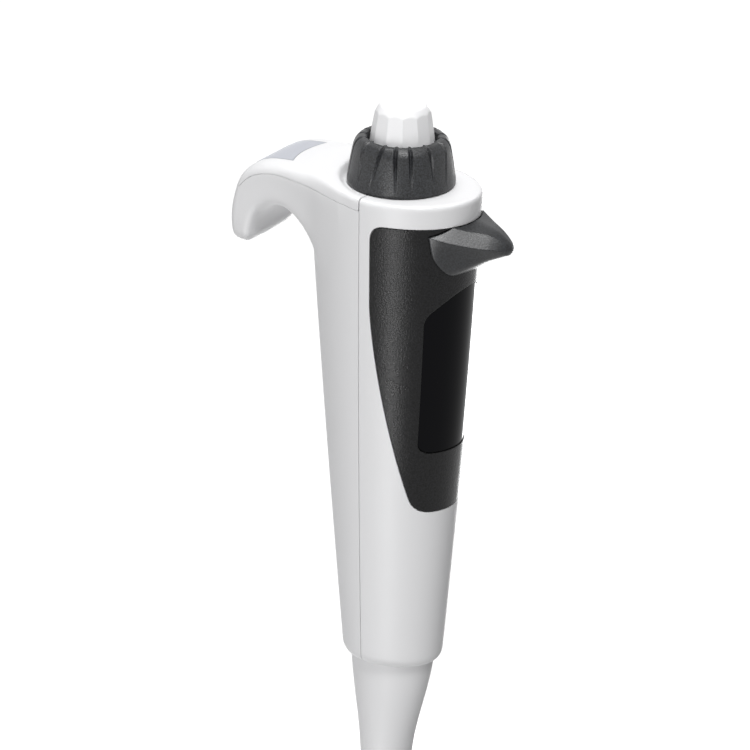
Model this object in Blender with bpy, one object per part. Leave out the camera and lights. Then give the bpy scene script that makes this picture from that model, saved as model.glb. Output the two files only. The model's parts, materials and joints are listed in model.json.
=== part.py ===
# Electronic single-channel pipette, 100 to 1000 microlitres, modelled as an assembly.
# Metres, +Z up. The origin is the centre of the thumb button's top face, on the main axis.
# +Z runs up the main axis, -Y is the display side and +Y the side of the finger hook.
# Every height below is measured from the deck, the flat top that the knob turns on.
from math import copysign, cos, pi, radians, sin

import bmesh
import bpy
from mathutils import Vector

MM = 0.001
GAP = 0.3 * MM                 # between pieces that seat on each other
SEAM = 0.3 * MM                # the visible parting line between the two shells
OVERRUN = 3.0 * MM             # how far a cutter passes the face that it cuts
BEYOND = 80.0 * MM             # a length that lies outside the handle on every side

# Handle, an oval that tapers from the deck to its lower end
HANDLE_LENGTH = 143.0 * MM
TOP_HALF_WIDTH = 19.0 * MM
TOP_FRONT = 23.3 * MM
TOP_BACK = 27.0 * MM
LOW_HALF_WIDTH = 12.4 * MM
LOW_FRONT = 16.0 * MM
LOW_BACK = 13.2 * MM
SIDE_TAPER_POWER = 1.4
BACK_TAPER_POWER = 1.1
WALL_TOP = 2.4 * MM
WALL_LOW = 1.8 * MM
DECK_THICKNESS = 2.9 * MM
DECK_EDGE_RADIUS = 1.3 * MM
LOW_EDGE_RADIUS = 2.0 * MM
SEAM_Y = 2.0 * MM
OVAL_POINTS = 40

# Finger hook, in the YZ plane: outer line, inner line, then half width at the outer and inner line
HOOK_STATIONS = [
    (9.0, -1.2, 9.0, -34.0, 15.4, 11.0),
    (15.4, -0.2, 18.0, -31.0, 15.0, 11.6),
    (20.0, 1.1, 21.8, -25.5, 14.6, 12.6),
    (25.5, 2.5, 24.6, -19.5, 14.3, 13.2),
    (31.0, 3.3, 27.2, -14.2, 14.2, 13.6),
    (36.5, 2.9, 30.4, -11.4, 14.1, 13.8),
    (41.0, 0.9, 34.2, -11.0, 14.0, 13.8),
    (44.4, -3.0, 37.4, -13.0, 13.9, 13.7),
    (46.4, -8.5, 39.6, -16.0, 13.7, 13.5),
    (47.4, -14.5, 41.0, -19.0, 13.4, 13.2),
    (47.2, -19.6, 42.0, -21.6, 12.9, 12.7),
    (45.9, -22.4, 43.2, -22.8, 12.0, 12.0),
]
HOOK_ROUNDNESS = 3.6
HOOK_POINTS = 24
COVER_LINE = [(2.0, -2.9), (14.0, -2.0), (22.0, -0.6), (30.0, 0.3), (36.0, 0.0), (40.6, -1.9), (44.0, -5.4)]

# Grey inlay on the hook
INLAY_HALF_WIDTH = 8.0 * MM
INLAY_FRONT_Y = 33.0 * MM
INLAY_HOLLOW = 1.2 * MM
INLAY_DEPTH = 1.2 * MM
INLAY_LOW = -4.6 * MM

# Black front panel and display window
PANEL_TOP = -6.5 * MM
PANEL_LOW = -92.5 * MM
PANEL_SIDE_Y = -2.0 * MM
PANEL_SWEEP = 10.6 * MM
PANEL_SWEEP_START = -20.0 * MM
PANEL_THICKNESS = 1.2 * MM
PANEL_CORNER = 3.0 * MM
WINDOW_TOP = -25.6 * MM
WINDOW_LOW = -73.8 * MM
WINDOW_HALF_WIDTH = 12.6 * MM
WINDOW_LOW_HALF_WIDTH = 11.9 * MM
WINDOW_ARCH = 7.0 * MM
WINDOW_ARCH_POWER = 2.2
WINDOW_CORNER = 3.4 * MM
WINDOW_SINK = 0.25 * MM
EDGE_GAP = 0.2 * MM

# Setting knob, its profile in shares of base radius and height
KNOB_BASE_RADIUS = 14.9 * MM
KNOB_HEIGHT = 13.5 * MM
KNOB_PROFILE = [(1.000, 0.022), (1.003, 0.104), (0.966, 0.385), (0.916, 0.711), (0.880, 0.859),
                (0.800, 0.970), (0.710, 1.000)]
KNOB_WELL_RADIUS = 9.5 * MM
KNOB_FLOOR = 1.8 * MM
KNOB_LIP = 1.0 * MM
KNOB_GROOVE_DEPTH = 1.15 * MM
KNOB_GROOVE_START = 0.104      # share of the height where the grooves begin
KNOB_GROOVE_TOP_ANGLE = 3.4    # half angle of a groove at the top and at its start
KNOB_GROOVE_LOW_ANGLE = 1.4
KNOB_GROOVES = [(4.3, -6.0), (21.8, 24.7), (40.9, 40.6), (65.9, 68.3)]
KNOB_SECTOR = 90.0             # the grooves above repeat after this many degrees
HUB_OUTER_RADIUS = 6.8 * MM
HUB_BORE_RADIUS = 5.6 * MM
HUB_LENGTH = 8.3 * MM
DECK_HOLE_RADIUS = 7.3 * MM
CLIP_RADIUS = 9.2 * MM
CLIP_THICKNESS = 0.8 * MM
ENCODER_RADIUS = 10.5 * MM
ENCODER_HEIGHT = 3.5 * MM

# Thumb button
BUTTON_TOP = KNOB_HEIGHT + 9.0 * MM
BUTTON_SHOULDER = KNOB_HEIGHT + 6.5 * MM
BUTTON_CEILING = KNOB_HEIGHT + 3.5 * MM
BUTTON_SKIRT = 5.0 * MM
BUTTON_RADIUS = 9.0 * MM
BUTTON_SHOULDER_RADIUS = 7.75 * MM
BUTTON_TOP_RADIUS = 6.3 * MM
BUTTON_FACETS = 12
BUTTON_HOLLOW_RADIUS = 7.0 * MM
BUTTON_TRAVEL = 2.5 * MM
BUTTON_SPRING_RADIUS = 4.4 * MM
BUTTON_SPRING_WIRE = 0.35 * MM
SHAFT_RADIUS = 3.2 * MM
SHAFT_LOW = -5.4 * MM
SWITCH_HALF_WIDTH = 2.4 * MM
SWITCH_PLUNGER_RADIUS = 1.3 * MM
SWITCH_PLUNGER_HEIGHT = 0.9 * MM
GUIDE_BORE_RADIUS = 3.6 * MM
GUIDE_OUTER_RADIUS = 5.2 * MM
GUIDE_TOP = 3.0 * MM

# Chassis and drive, set out upward from the plate that carries the barrel
CHASSIS_TOP = -12.5 * MM
PLATE_THICKNESS = 1.5 * MM
CHASSIS_DISC_RADIUS = 8.6 * MM
LOW_PLATE_RADIUS = 8.8 * MM
LOW_PLATE_TOP = -(HANDLE_LENGTH - 13.5 * MM)
COLLAR_LOW = LOW_PLATE_TOP - 7.5 * MM
RAIL_OUTER_X = 10.6 * MM
RAIL_THICKNESS = 1.2 * MM
RAIL_HALF_WIDTH = 3.0 * MM
TONGUE_HALF_WIDTH = 2.5 * MM
SCREW_RADIUS = 1.5 * MM
SCREW_LENGTH = 20.7 * MM
SCREW_SEAT = 4.0 * MM
PISTON_STROKE = 13.0 * MM
NUT_LENGTH = 22.0 * MM
NUT_TOP = LOW_PLATE_TOP + PISTON_STROKE + NUT_LENGTH + 4.5 * MM
NUT_RADIUS = 4.0 * MM
NUT_BORE_RADIUS = 1.9 * MM
NUT_FLOOR = 1.5 * MM
NUT_KEY_HEIGHT = 8.0 * MM
NUT_KEY_HALF_WIDTH = 2.0 * MM
COUPLING_RADIUS = NUT_RADIUS + GAP + 1.0 * MM
COUPLING_GRIP = 4.0 * MM
COUPLING_LIP = 1.2 * MM
ROD_RADIUS = 2.4 * MM
ROD_HEAD_RADIUS = 3.6 * MM
ROD_HEAD_THICKNESS = 1.7 * MM
MOTOR_RADIUS = 9.0 * MM
MOTOR_LENGTH = 22.0 * MM
MOTOR_LOW = NUT_TOP + 4.0 * MM
MOTOR_TOP = MOTOR_LOW + MOTOR_LENGTH
BATTERY_RADIUS = 7.0 * MM
BATTERY_CAP_RADIUS = 2.6 * MM
BATTERY_CAP_HEIGHT = 1.2 * MM
BATTERY_EDGE = 0.5 * MM
BATTERY_TOP = CHASSIS_TOP - 6.4 * MM
BATTERY_Y = 9.0 * MM

# Barrel and nozzle, set out downward from the same plate
PISTON_TOP = LOW_PLATE_TOP - 22.5 * MM
PISTON_THICKNESS = 5.0 * MM
PISTON_RADIUS = 4.4 * MM
SEAL_SEAT_RADIUS = 3.4 * MM
SEAL_SEAT_HEIGHT = 1.8 * MM
BARREL_BORE_RADIUS = 5.0 * MM
BARREL_WALL = 1.1 * MM
BARREL_FLANGE_RADIUS = 7.2 * MM
BARREL_FLANGE_THICKNESS = 2.0 * MM
BARREL_LOW = LOW_PLATE_TOP - 46.5 * MM
CONE_TOP = BARREL_LOW - 5.0 * MM
CONE_LENGTH = 61.0 * MM
CONE_TIP = CONE_TOP - CONE_LENGTH
CONE_SHOULDER = 2.0 * MM
CONE_NECK = 9.0 * MM
CONE_SEAT = 13.0 * MM          # the stretch above the end that a tip seals on
NOZZLE_BORE_RADIUS = 1.5 * MM
NOZZLE_TIP_RADIUS = 3.3 * MM
NOZZLE_RADIUS = 3.9 * MM
NOZZLE_TOP_RADIUS = 4.6 * MM

# Ejector
EJECTOR_TRAVEL = 8.0 * MM
SLEEVE_CLEARANCE = 0.4 * MM
SLEEVE_WALL = 1.1 * MM
SLEEVE_TOP = -(HANDLE_LENGTH - 9.0 * MM)
SLEEVE_WAIST = -(HANDLE_LENGTH + 31.0 * MM)
SLEEVE_LOW = CONE_TIP + 11.0 * MM
SLEEVE_WAIST_RADIUS = 7.6 * MM
SLEEVE_LOW_RADIUS = 5.6 * MM
SLEEVE_POINTS = 36
SLOT_HALF_WIDTH = 3.2 * MM
TAB_HALF_WIDTH = 2.6 * MM
TAB_TOP = -8.9 * MM
TAB_HEIGHT = 3.6 * MM
TAB_REACH = 26.5 * MM
YOKE_INNER_RADIUS = 9.8 * MM
YOKE_OUTER_RADIUS = 12.3 * MM
BAR_INNER_X = 9.5 * MM
BAR_THICKNESS = 1.1 * MM
BAR_HALF_WIDTH = 2.5 * MM
LUG_TOP = LOW_PLATE_TOP + 26.5 * MM
LUG_THICKNESS = 2.0 * MM
LUG_WALL = 2.6 * MM
LUG_CLEARANCE = 0.4 * MM
POST_X = 6.5 * MM
POST_Y = 4.6 * MM
POST_RADIUS = 1.2 * MM
POST_ABOVE_LUG = 2.7 * MM
EJECTOR_SPRING_RADIUS = 2.0 * MM
EJECTOR_SPRING_WIRE = 0.3 * MM
KEY_CLEARANCE = 0.35 * MM

# Beak: how far forward, its top, then X and Z of its ridge, corner, flank and low edge, and its keel
KEY_STATIONS = [
    (12.0, -5.0, 11.5, -5.0, 15.0, -8.0, 13.8, -16.6, 10.8, -21.8, -23.2),
    (16.0, -5.1, 10.6, -5.3, 13.8, -8.5, 12.9, -16.6, 10.4, -21.8, -23.2),
    (19.0, -5.4, 9.5, -5.9, 12.8, -9.3, 11.5, -16.4, 9.2, -21.2, -22.9),
    (22.2, -6.0, 7.9, -6.7, 11.1, -10.1, 9.4, -15.6, 7.6, -19.9, -21.7),
    (25.2, -6.8, 6.1, -7.5, 9.3, -10.8, 7.5, -14.9, 5.9, -18.0, -19.4),
    (29.4, -7.7, 3.6, -8.1, 6.8, -11.6, 5.2, -14.0, 3.9, -15.7, -16.6),
    (31.1, -8.3, 2.9, -8.7, 5.6, -11.8, 4.3, -13.7, 3.2, -15.0, -15.8),
    (33.2, -9.5, 2.1, -9.9, 3.9, -12.0, 3.0, -13.4, 2.1, -14.2, -14.8),
    (34.6, -10.6, 1.4, -10.9, 2.5, -12.3, 2.0, -13.3, 1.5, -13.8, -14.2),
    (35.4, -11.4, 0.7, -11.6, 1.2, -12.4, 1.0, -13.0, 0.7, -13.3, -13.5),
]

# Electronics
BOARD_THICKNESS = 1.2 * MM
BOARD_TOP = WINDOW_TOP - 1.4 * MM
BOARD_HALF_WIDTH = 9.4 * MM
BOARD_LOW_HALF_WIDTH = 7.4 * MM
BOARD_LOW = MOTOR_LOW - 12.0 * MM
BOARD_CLEARANCE = 0.5 * MM
BRACKET_HEIGHT = 3.0 * MM
BRACKET_TOPS = (BOARD_TOP - 3.0 * MM, MOTOR_LOW - 0.6 * MM)
BRACKET_INNER_RADIUS = MOTOR_RADIUS + 0.6 * MM
BRACKET_CLEARANCE = 0.7 * MM
PAD_HALF_WIDTH = 8.0 * MM
PAD_INNER_Y = -9.9 * MM
BOARD_SCREW_X = 6.0 * MM
BOARD_SCREW_RADIUS = 1.5 * MM
BOARD_SCREW_HEIGHT = 0.9 * MM
LCD_HALF_WIDTH = 7.6 * MM
LCD_TOP = WINDOW_TOP - 10.4 * MM
LCD_LOW = WINDOW_LOW + 3.8 * MM
LCD_THICKNESS = 1.7 * MM
APERTURE_HALF_WIDTH = 9.0 * MM
APERTURE_MARGIN = 1.5 * MM
BUZZER_RADIUS = 4.0 * MM
BUZZER_THICKNESS = 1.3 * MM
BUZZER_Z = LCD_TOP - 20.0 * MM
# Centre X and Z, half width, half height and thickness
CHIPS = {
    "processor_chip": (-4.0 * MM, LCD_TOP - 6.0 * MM, 3.2 * MM, 3.2 * MM, 1.2 * MM),
    "motor_driver_chip": (3.6 * MM, LCD_TOP - 8.0 * MM, 2.6 * MM, 4.2 * MM, 1.4 * MM),
    "board_connector": (0.5 * MM, BOARD_LOW + 3.0 * MM, 3.6 * MM, 1.8 * MM, 1.0 * MM),
}

COLOURS = {
    "white": ((0.82, 0.82, 0.83), 0.32, 0.0),
    "button_white": ((0.90, 0.90, 0.91), 0.35, 0.0),
    "inlay_grey": ((0.55, 0.56, 0.60), 0.40, 0.0),
    "panel_black": ((0.020, 0.020, 0.022), 0.45, 0.0),
    "window_black": ((0.005, 0.005, 0.006), 0.08, 0.0),
    "knob_grey": ((0.030, 0.031, 0.034), 0.50, 0.0),
    "steel": ((0.60, 0.60, 0.62), 0.30, 1.0),
    "board_green": ((0.02, 0.16, 0.07), 0.50, 0.0),
    "inner_grey": ((0.30, 0.31, 0.33), 0.50, 0.0),
    "battery_blue": ((0.05, 0.12, 0.35), 0.40, 0.0),
    "seal_black": ((0.02, 0.02, 0.02), 0.70, 0.0),
    "nozzle_white": ((0.75, 0.75, 0.74), 0.35, 0.0),
}


def clear_scene():
    for obj in list(bpy.data.objects):
        bpy.data.objects.remove(obj, do_unlink=True)


def material(name):
    found = bpy.data.materials.get(name)
    if found:
        return found
    colour, roughness, metallic = COLOURS[name]
    made = bpy.data.materials.new(name)
    made.use_nodes = True
    shader = made.node_tree.nodes["Principled BSDF"]
    shader.inputs["Base Color"].default_value = (*colour, 1.0)
    shader.inputs["Roughness"].default_value = roughness
    shader.inputs["Metallic"].default_value = metallic
    made.diffuse_color = (*colour, 1.0)
    return made


def make_frame():
    """The empty that carries every piece and sets the origin at the button's top."""
    frame = bpy.data.objects.new("pipette_frame", None)
    bpy.context.scene.collection.objects.link(frame)
    frame.location = (0, 0, -BUTTON_TOP)
    return frame


def piece(name, mesh, colour, parent):
    obj = bpy.data.objects.new(name, mesh)
    bpy.context.scene.collection.objects.link(obj)
    obj.parent = parent
    mesh.materials.clear()
    mesh.materials.append(material(colour))
    mesh.shade_smooth()
    mesh.set_sharp_from_angle(angle=radians(32))
    return obj


def loft(rings, closed=False, name="loft"):
    """Skins a list of rings of equal length. A closed loft joins the last ring to the first."""
    bm = bmesh.new()
    rows = [[bm.verts.new(point) for point in ring] for ring in rings]
    count = len(rows[0])
    pairs = list(zip(rows, rows[1:]))
    if closed:
        pairs.append((rows[-1], rows[0]))
    for upper, lower in pairs:
        for i in range(count):
            j = (i + 1) % count
            bm.faces.new((upper[i], upper[j], lower[j], lower[i]))
    if not closed:
        bm.faces.new(rows[0])
        bm.faces.new(rows[-1])
    bmesh.ops.recalc_face_normals(bm, faces=bm.faces)
    mesh = bpy.data.meshes.new(name)
    bm.to_mesh(mesh)
    bm.free()
    return mesh


def circle(radius, z, steps, centre=(0, 0)):
    """A level ring of points round a vertical axis."""
    angles = [2 * pi * k / steps for k in range(steps)]
    return [(centre[0] + radius * cos(a), centre[1] + radius * sin(a), z) for a in angles]


def turned(profile, steps=32, centre=(0, 0), closed=True, name="turned"):
    """Turns (radius, height) points. A closed profile gives a ring, an open one a solid."""
    return loft([circle(radius, z, steps, centre) for radius, z in profile], closed, name)


def rod(radius, top, low, steps=28, centre=(0, 0), name="rod"):
    return turned([(radius, top), (radius, low)], steps, centre, closed=False, name=name)


def tube(outer, inner, top, low, steps=32, centre=(0, 0), name="tube"):
    return turned([(inner, top), (outer, top), (outer, low), (inner, low)], steps, centre, name=name)


def box(x0, x1, y0, y1, z0, z1, name="box"):
    ring = [(x0, y0), (x1, y0), (x1, y1), (x0, y1)]
    return loft([[(x, y, z) for x, y in ring] for z in (z1, z0)], name=name)


def prism(outline, axis, start, end, name="prism"):
    """Extrudes a flat outline along X, Y or Z. Its points are the other two coordinates in order."""
    def place(u, v, w):
        return {"X": (w, u, v), "Y": (u, w, v), "Z": (u, v, w)}[axis]
    return loft([[place(u, v, w) for u, v in outline] for w in (start, end)], name=name)


def sector(inner, outer, from_deg, to_deg, top, low, steps=16, name="sector"):
    """A stretch of ring between two angles."""
    angles = [radians(from_deg + (to_deg - from_deg) * k / steps) for k in range(steps + 1)]
    outline = [(outer * cos(a), outer * sin(a)) for a in angles]
    outline += [(inner * cos(a), inner * sin(a)) for a in reversed(angles)]
    return prism(outline, "Z", top, low, name)


def soft_corner(before, corner, after, radius, steps=4):
    """The points of a rounded corner between its two neighbours."""
    before, corner, after = Vector(before), Vector(corner), Vector(after)
    start = corner + (before - corner).normalized() * radius
    end = corner + (after - corner).normalized() * radius
    points = []
    for k in range(steps + 1):
        t = k / steps
        points.append(tuple(start * (1 - t) ** 2 + corner * 2 * t * (1 - t) + end * t ** 2))
    return points


def combine(mesh, other, operation):
    """One exact Boolean step on two meshes, which gives a new mesh."""
    scene = bpy.context.scene
    first = bpy.data.objects.new("working_solid", mesh)
    second = bpy.data.objects.new("working_tool", other)
    scene.collection.objects.link(first)
    scene.collection.objects.link(second)
    modifier = first.modifiers.new("step", "BOOLEAN")
    modifier.operation = operation
    modifier.solver = "EXACT"
    modifier.object = second
    bpy.context.view_layer.update()
    evaluated = first.evaluated_get(bpy.context.evaluated_depsgraph_get())
    result = bpy.data.meshes.new_from_object(evaluated)
    bpy.data.objects.remove(first)
    bpy.data.objects.remove(second)
    return tidy_mesh(result)


def tidy_mesh(mesh):
    """Drops slivers left by a cut, so that the solid stays clean."""
    bm = bmesh.new()
    bm.from_mesh(mesh)
    bmesh.ops.remove_doubles(bm, verts=bm.verts, dist=0.004 * MM)
    bmesh.ops.dissolve_degenerate(bm, edges=bm.edges, dist=0.002 * MM)
    bm.to_mesh(mesh)
    bm.free()
    return mesh


def cut(mesh, *tools):
    for tool in tools:
        mesh = combine(mesh, tool, "DIFFERENCE")
    return mesh


def join(mesh, *others):
    for other in others:
        mesh = combine(mesh, other, "UNION")
    return mesh


def common(mesh, tool):
    return combine(mesh, tool, "INTERSECT")


def wall_at(z):
    t = min(max(-z / HANDLE_LENGTH, 0.0), 1.0)
    return WALL_TOP + (WALL_LOW - WALL_TOP) * t


def handle_oval(z, inset=0.0):
    """Half width, front reach and back reach of the handle at a height, less an inset."""
    t = min(max(-z / HANDLE_LENGTH, 0.0), 1.0)
    side = t ** SIDE_TAPER_POWER
    back = t ** BACK_TAPER_POWER
    return (TOP_HALF_WIDTH + (LOW_HALF_WIDTH - TOP_HALF_WIDTH) * side - inset,
            TOP_FRONT + (LOW_FRONT - TOP_FRONT) * side - inset,
            TOP_BACK + (LOW_BACK - TOP_BACK) * back - inset)


def oval_ring(half_width, front, back, z, count=OVAL_POINTS):
    ring = []
    for k in range(count):
        angle = 2 * pi * k / count
        reach = back if sin(angle) > 0 else front
        ring.append((half_width * cos(angle), reach * sin(angle), z))
    return ring


def handle_ring(z, inset=0.0):
    return oval_ring(*handle_oval(z, inset), z)


def handle_solid():
    """The handle's outside with rounded ends."""
    rings = []
    for k in range(4):
        angle = radians(30 * (3 - k))
        z = -DECK_EDGE_RADIUS * (1 - sin(angle))
        rings.append(handle_ring(z, DECK_EDGE_RADIUS * (1 - cos(angle))))
    first = -DECK_EDGE_RADIUS
    last = -HANDLE_LENGTH + LOW_EDGE_RADIUS
    for k in range(1, 7):
        rings.append(handle_ring(first + (last - first) * k / 7))
    for k in range(4):
        angle = radians(30 * k)
        z = last - LOW_EDGE_RADIUS * sin(angle)
        rings.append(handle_ring(z, LOW_EDGE_RADIUS * (1 - cos(angle))))
    return loft(rings, name="handle")


def skin_solid(inset):
    """A plain oval loft that follows the handle's side at an inset, for cutting thin skins."""
    heights = [OVERRUN - (HANDLE_LENGTH + 2 * OVERRUN) * k / 8 for k in range(9)]
    return loft([handle_ring(z, inset) for z in heights], name="skin")


def cavity_solid(top):
    """The hollow that the two shells share, open at the handle's lower end."""
    low = -HANDLE_LENGTH - OVERRUN
    heights = [top + (low - top) * k / 5 for k in range(6)]
    return loft([handle_ring(z, wall_at(z)) for z in heights], name="cavity")


def hook_ring(outer, inner, outer_half, inner_half):
    """One section of the hook, a rounded oblong that is wider towards its outer line."""
    centre = (outer + inner) / 2
    reach = (outer - inner) / 2
    ring = []
    for k in range(HOOK_POINTS):
        angle = 2 * pi * k / HOOK_POINTS
        across = copysign(abs(cos(angle)) ** (2 / HOOK_ROUNDNESS), cos(angle))
        along = copysign(abs(sin(angle)) ** (2 / HOOK_ROUNDNESS), sin(angle))
        half = inner_half + (outer_half - inner_half) * (along + 1) / 2
        at = centre + reach * along
        ring.append((half * across, at.x, at.y))
    return ring


def hook_solid(depth=0.0):
    """The finger hook, or the same form with its outer line moved inward by a depth."""
    rings = []
    for outer_y, outer_z, inner_y, inner_z, outer_half, inner_half in HOOK_STATIONS:
        outer = Vector((outer_y, outer_z)) * MM
        inner = Vector((inner_y, inner_z)) * MM
        outer -= (outer - inner).normalized() * depth
        rings.append(hook_ring(outer, inner, outer_half * MM, inner_half * MM))
    return loft(rings, name="hook")


def cover_prism(drop, start_y):
    """Everything above the top cover's lower line, dropped by a clearance."""
    line = [(y * MM, z * MM - drop) for y, z in COVER_LINE]
    line[0] = (start_y, line[0][1])
    outline = line + [(BEYOND, line[-1][1]), (BEYOND, BEYOND), (start_y, BEYOND)]
    return prism(outline, "X", -BEYOND, BEYOND, "cover_tool")


def half_space(from_y, to_y):
    return box(-BEYOND, BEYOND, from_y, to_y, -HANDLE_LENGTH - BEYOND, BEYOND)


def panel_side_y(z):
    s = max(0.0, (PANEL_SWEEP_START - z) / (PANEL_SWEEP_START - PANEL_LOW))
    return PANEL_SIDE_Y - PANEL_SWEEP * s * s


def panel_prism(grow):
    """The panel's outline in side view, grown by a clearance and swept across the handle."""
    top = PANEL_TOP + grow
    low = PANEL_LOW - grow
    steps = 9
    first = PANEL_TOP - PANEL_CORNER
    last = PANEL_LOW + PANEL_CORNER
    first_y = panel_side_y(first) + grow
    low_y = panel_side_y(PANEL_LOW) + grow
    outline = [(-BEYOND, top)]
    outline += soft_corner((-BEYOND, top), (first_y, top), (first_y, first), PANEL_CORNER)
    for k in range(1, steps):
        z = first + (last - first) * k / steps
        outline.append((panel_side_y(z) + grow, z))
    outline += soft_corner((panel_side_y(last) + grow, last), (low_y, low), (-BEYOND, low), PANEL_CORNER)
    outline.append((-BEYOND, low))
    return prism(outline, "X", -BEYOND, BEYOND, "panel_tool")


def window_prism(grow):
    """The window's outline in front view: an arched top and rounded lower corners."""
    half = WINDOW_HALF_WIDTH + grow
    low_half = WINDOW_LOW_HALF_WIDTH + grow
    top = WINDOW_TOP + grow
    low = WINDOW_LOW - grow
    outline = []
    for k in range(9):
        x = half * (1 - k / 4)
        outline.append((x, top - WINDOW_ARCH * (abs(x) / half) ** WINDOW_ARCH_POWER))
    corner = soft_corner((-half, top - WINDOW_ARCH), (-low_half, low), (0, low), WINDOW_CORNER)
    outline += corner
    outline += [(-x, z) for x, z in reversed(corner)]
    return prism(outline, "Y", -BEYOND, 0.0, "window_tool")


def slot_tool():
    """The slot that the ejector's tab comes out through, with room for its travel."""
    low = TAB_TOP - TAB_HEIGHT - EJECTOR_TRAVEL - GAP
    return box(-SLOT_HALF_WIDTH, SLOT_HALF_WIDTH, -BEYOND, -YOKE_OUTER_RADIUS, low, TAB_TOP + GAP)


def inlay_tool(grow):
    """The block that marks off the inlay on the hook, with a slightly hollow front edge."""
    half = INLAY_HALF_WIDTH + grow
    front = INLAY_FRONT_Y - grow
    outline = [(half * (1 - k / 4), front + INLAY_HOLLOW * (1 - (1 - k / 4) ** 2)) for k in range(9)]
    outline += [(-half, BEYOND), (half, BEYOND)]
    return prism(outline, "Z", BEYOND, INLAY_LOW - grow, "inlay_tool")


def build_shells(frame):
    outside = join(handle_solid(), hook_solid())
    aperture = box(-APERTURE_HALF_WIDTH, APERTURE_HALF_WIDTH, -BEYOND, PAD_INNER_Y,
                   LCD_LOW - APERTURE_MARGIN, LCD_TOP + APERTURE_MARGIN)
    recess = cut(panel_prism(0.0), skin_solid(PANEL_THICKNESS + GAP))
    hole = rod(DECK_HOLE_RADIUS, OVERRUN, -DECK_THICKNESS - OVERRUN, 36)
    front = cut(handle_solid(), cavity_solid(-DECK_THICKNESS), half_space(SEAM_Y - SEAM / 2, BEYOND),
                recess, aperture, slot_tool(), hole)
    piece("front_shell", front, "white", frame)

    rear = cut(outside, cavity_solid(OVERRUN), half_space(-BEYOND, SEAM_Y + SEAM / 2), cover_prism(GAP, 0.0))
    piece("rear_shell", rear, "white", frame)

    cover = common(outside.copy(), cover_prism(0.0, SEAM_Y + SEAM))
    cover = cut(cover, hole.copy(), cut(inlay_tool(EDGE_GAP), hook_solid(INLAY_DEPTH + GAP)))
    piece("top_cover", cover, "white", frame)
    inlay = cut(common(outside.copy(), inlay_tool(0.0)), hook_solid(INLAY_DEPTH))
    piece("hook_inlay", inlay, "inlay_grey", frame)


def build_panel(frame):
    panel = common(handle_solid(), panel_prism(-EDGE_GAP))
    panel = cut(panel, skin_solid(PANEL_THICKNESS), window_prism(EDGE_GAP), slot_tool())
    piece("front_panel", panel, "panel_black", frame)
    window = common(skin_solid(WINDOW_SINK), window_prism(0.0))
    window = cut(window, skin_solid(PANEL_THICKNESS))
    piece("display_window", window, "window_black", frame)


def knob_ring(share, height):
    """One level of the knob's outside: V grooves that lean, widen and deepen towards the top."""
    rise = max(0.0, (height - KNOB_GROOVE_START) / (1.0 - KNOB_GROOVE_START))
    half = KNOB_GROOVE_LOW_ANGLE + (KNOB_GROOVE_TOP_ANGLE - KNOB_GROOVE_LOW_ANGLE) * rise
    radius = KNOB_BASE_RADIUS * share
    places = [low + (top - low) * rise for top, low in KNOB_GROOVES]
    nexts = places[1:] + [places[0] + KNOB_SECTOR]
    ring = []
    for number in range(round(360 / KNOB_SECTOR)):
        for here, after in zip(places, nexts):
            spots = [(here - half, 0.0), (here, KNOB_GROOVE_DEPTH * min(1.0, rise)), (here + half, 0.0),
                     ((here + after) / 2, 0.0)]
            for degrees, depth in spots:
                angle = radians(degrees + number * KNOB_SECTOR)
                reach = radius - depth
                ring.append((reach * cos(angle), reach * sin(angle), height * KNOB_HEIGHT))
    return ring


def build_knob(frame):
    grip = loft([knob_ring(share, height) for share, height in KNOB_PROFILE], name="grip")
    lip = KNOB_WELL_RADIUS + GAP
    well = turned([(lip, KNOB_HEIGHT + OVERRUN), (lip, KNOB_HEIGHT - GAP),
                   (KNOB_WELL_RADIUS, KNOB_HEIGHT - KNOB_LIP), (KNOB_WELL_RADIUS, KNOB_FLOOR)], closed=False)
    hub = rod(HUB_OUTER_RADIUS, KNOB_FLOOR - GAP, -HUB_LENGTH, 32)
    bore = rod(HUB_BORE_RADIUS, KNOB_FLOOR + OVERRUN, -HUB_LENGTH - OVERRUN, 32)
    piece("setting_knob", cut(join(grip, hub), well, bore), "knob_grey", frame)
    clip_top = -HUB_LENGTH + 1.1 * MM
    clip = tube(CLIP_RADIUS, HUB_OUTER_RADIUS + GAP, clip_top, clip_top - CLIP_THICKNESS, 28)
    piece("knob_clip", clip, "steel", frame)
    encoder_top = -DECK_THICKNESS - GAP
    encoder = tube(ENCODER_RADIUS, DECK_HOLE_RADIUS, encoder_top, encoder_top - ENCODER_HEIGHT, 28)
    piece("knob_encoder", encoder, "inner_grey", frame)


def button_ring(radius, z, faceted):
    count = BUTTON_FACETS * 2
    ring = []
    for k in range(count):
        flat = cos(pi / BUTTON_FACETS) if faceted and k % 2 else 1.0
        angle = 2 * pi * k / count
        ring.append((radius * flat * cos(angle), radius * flat * sin(angle), z))
    return ring


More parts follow.
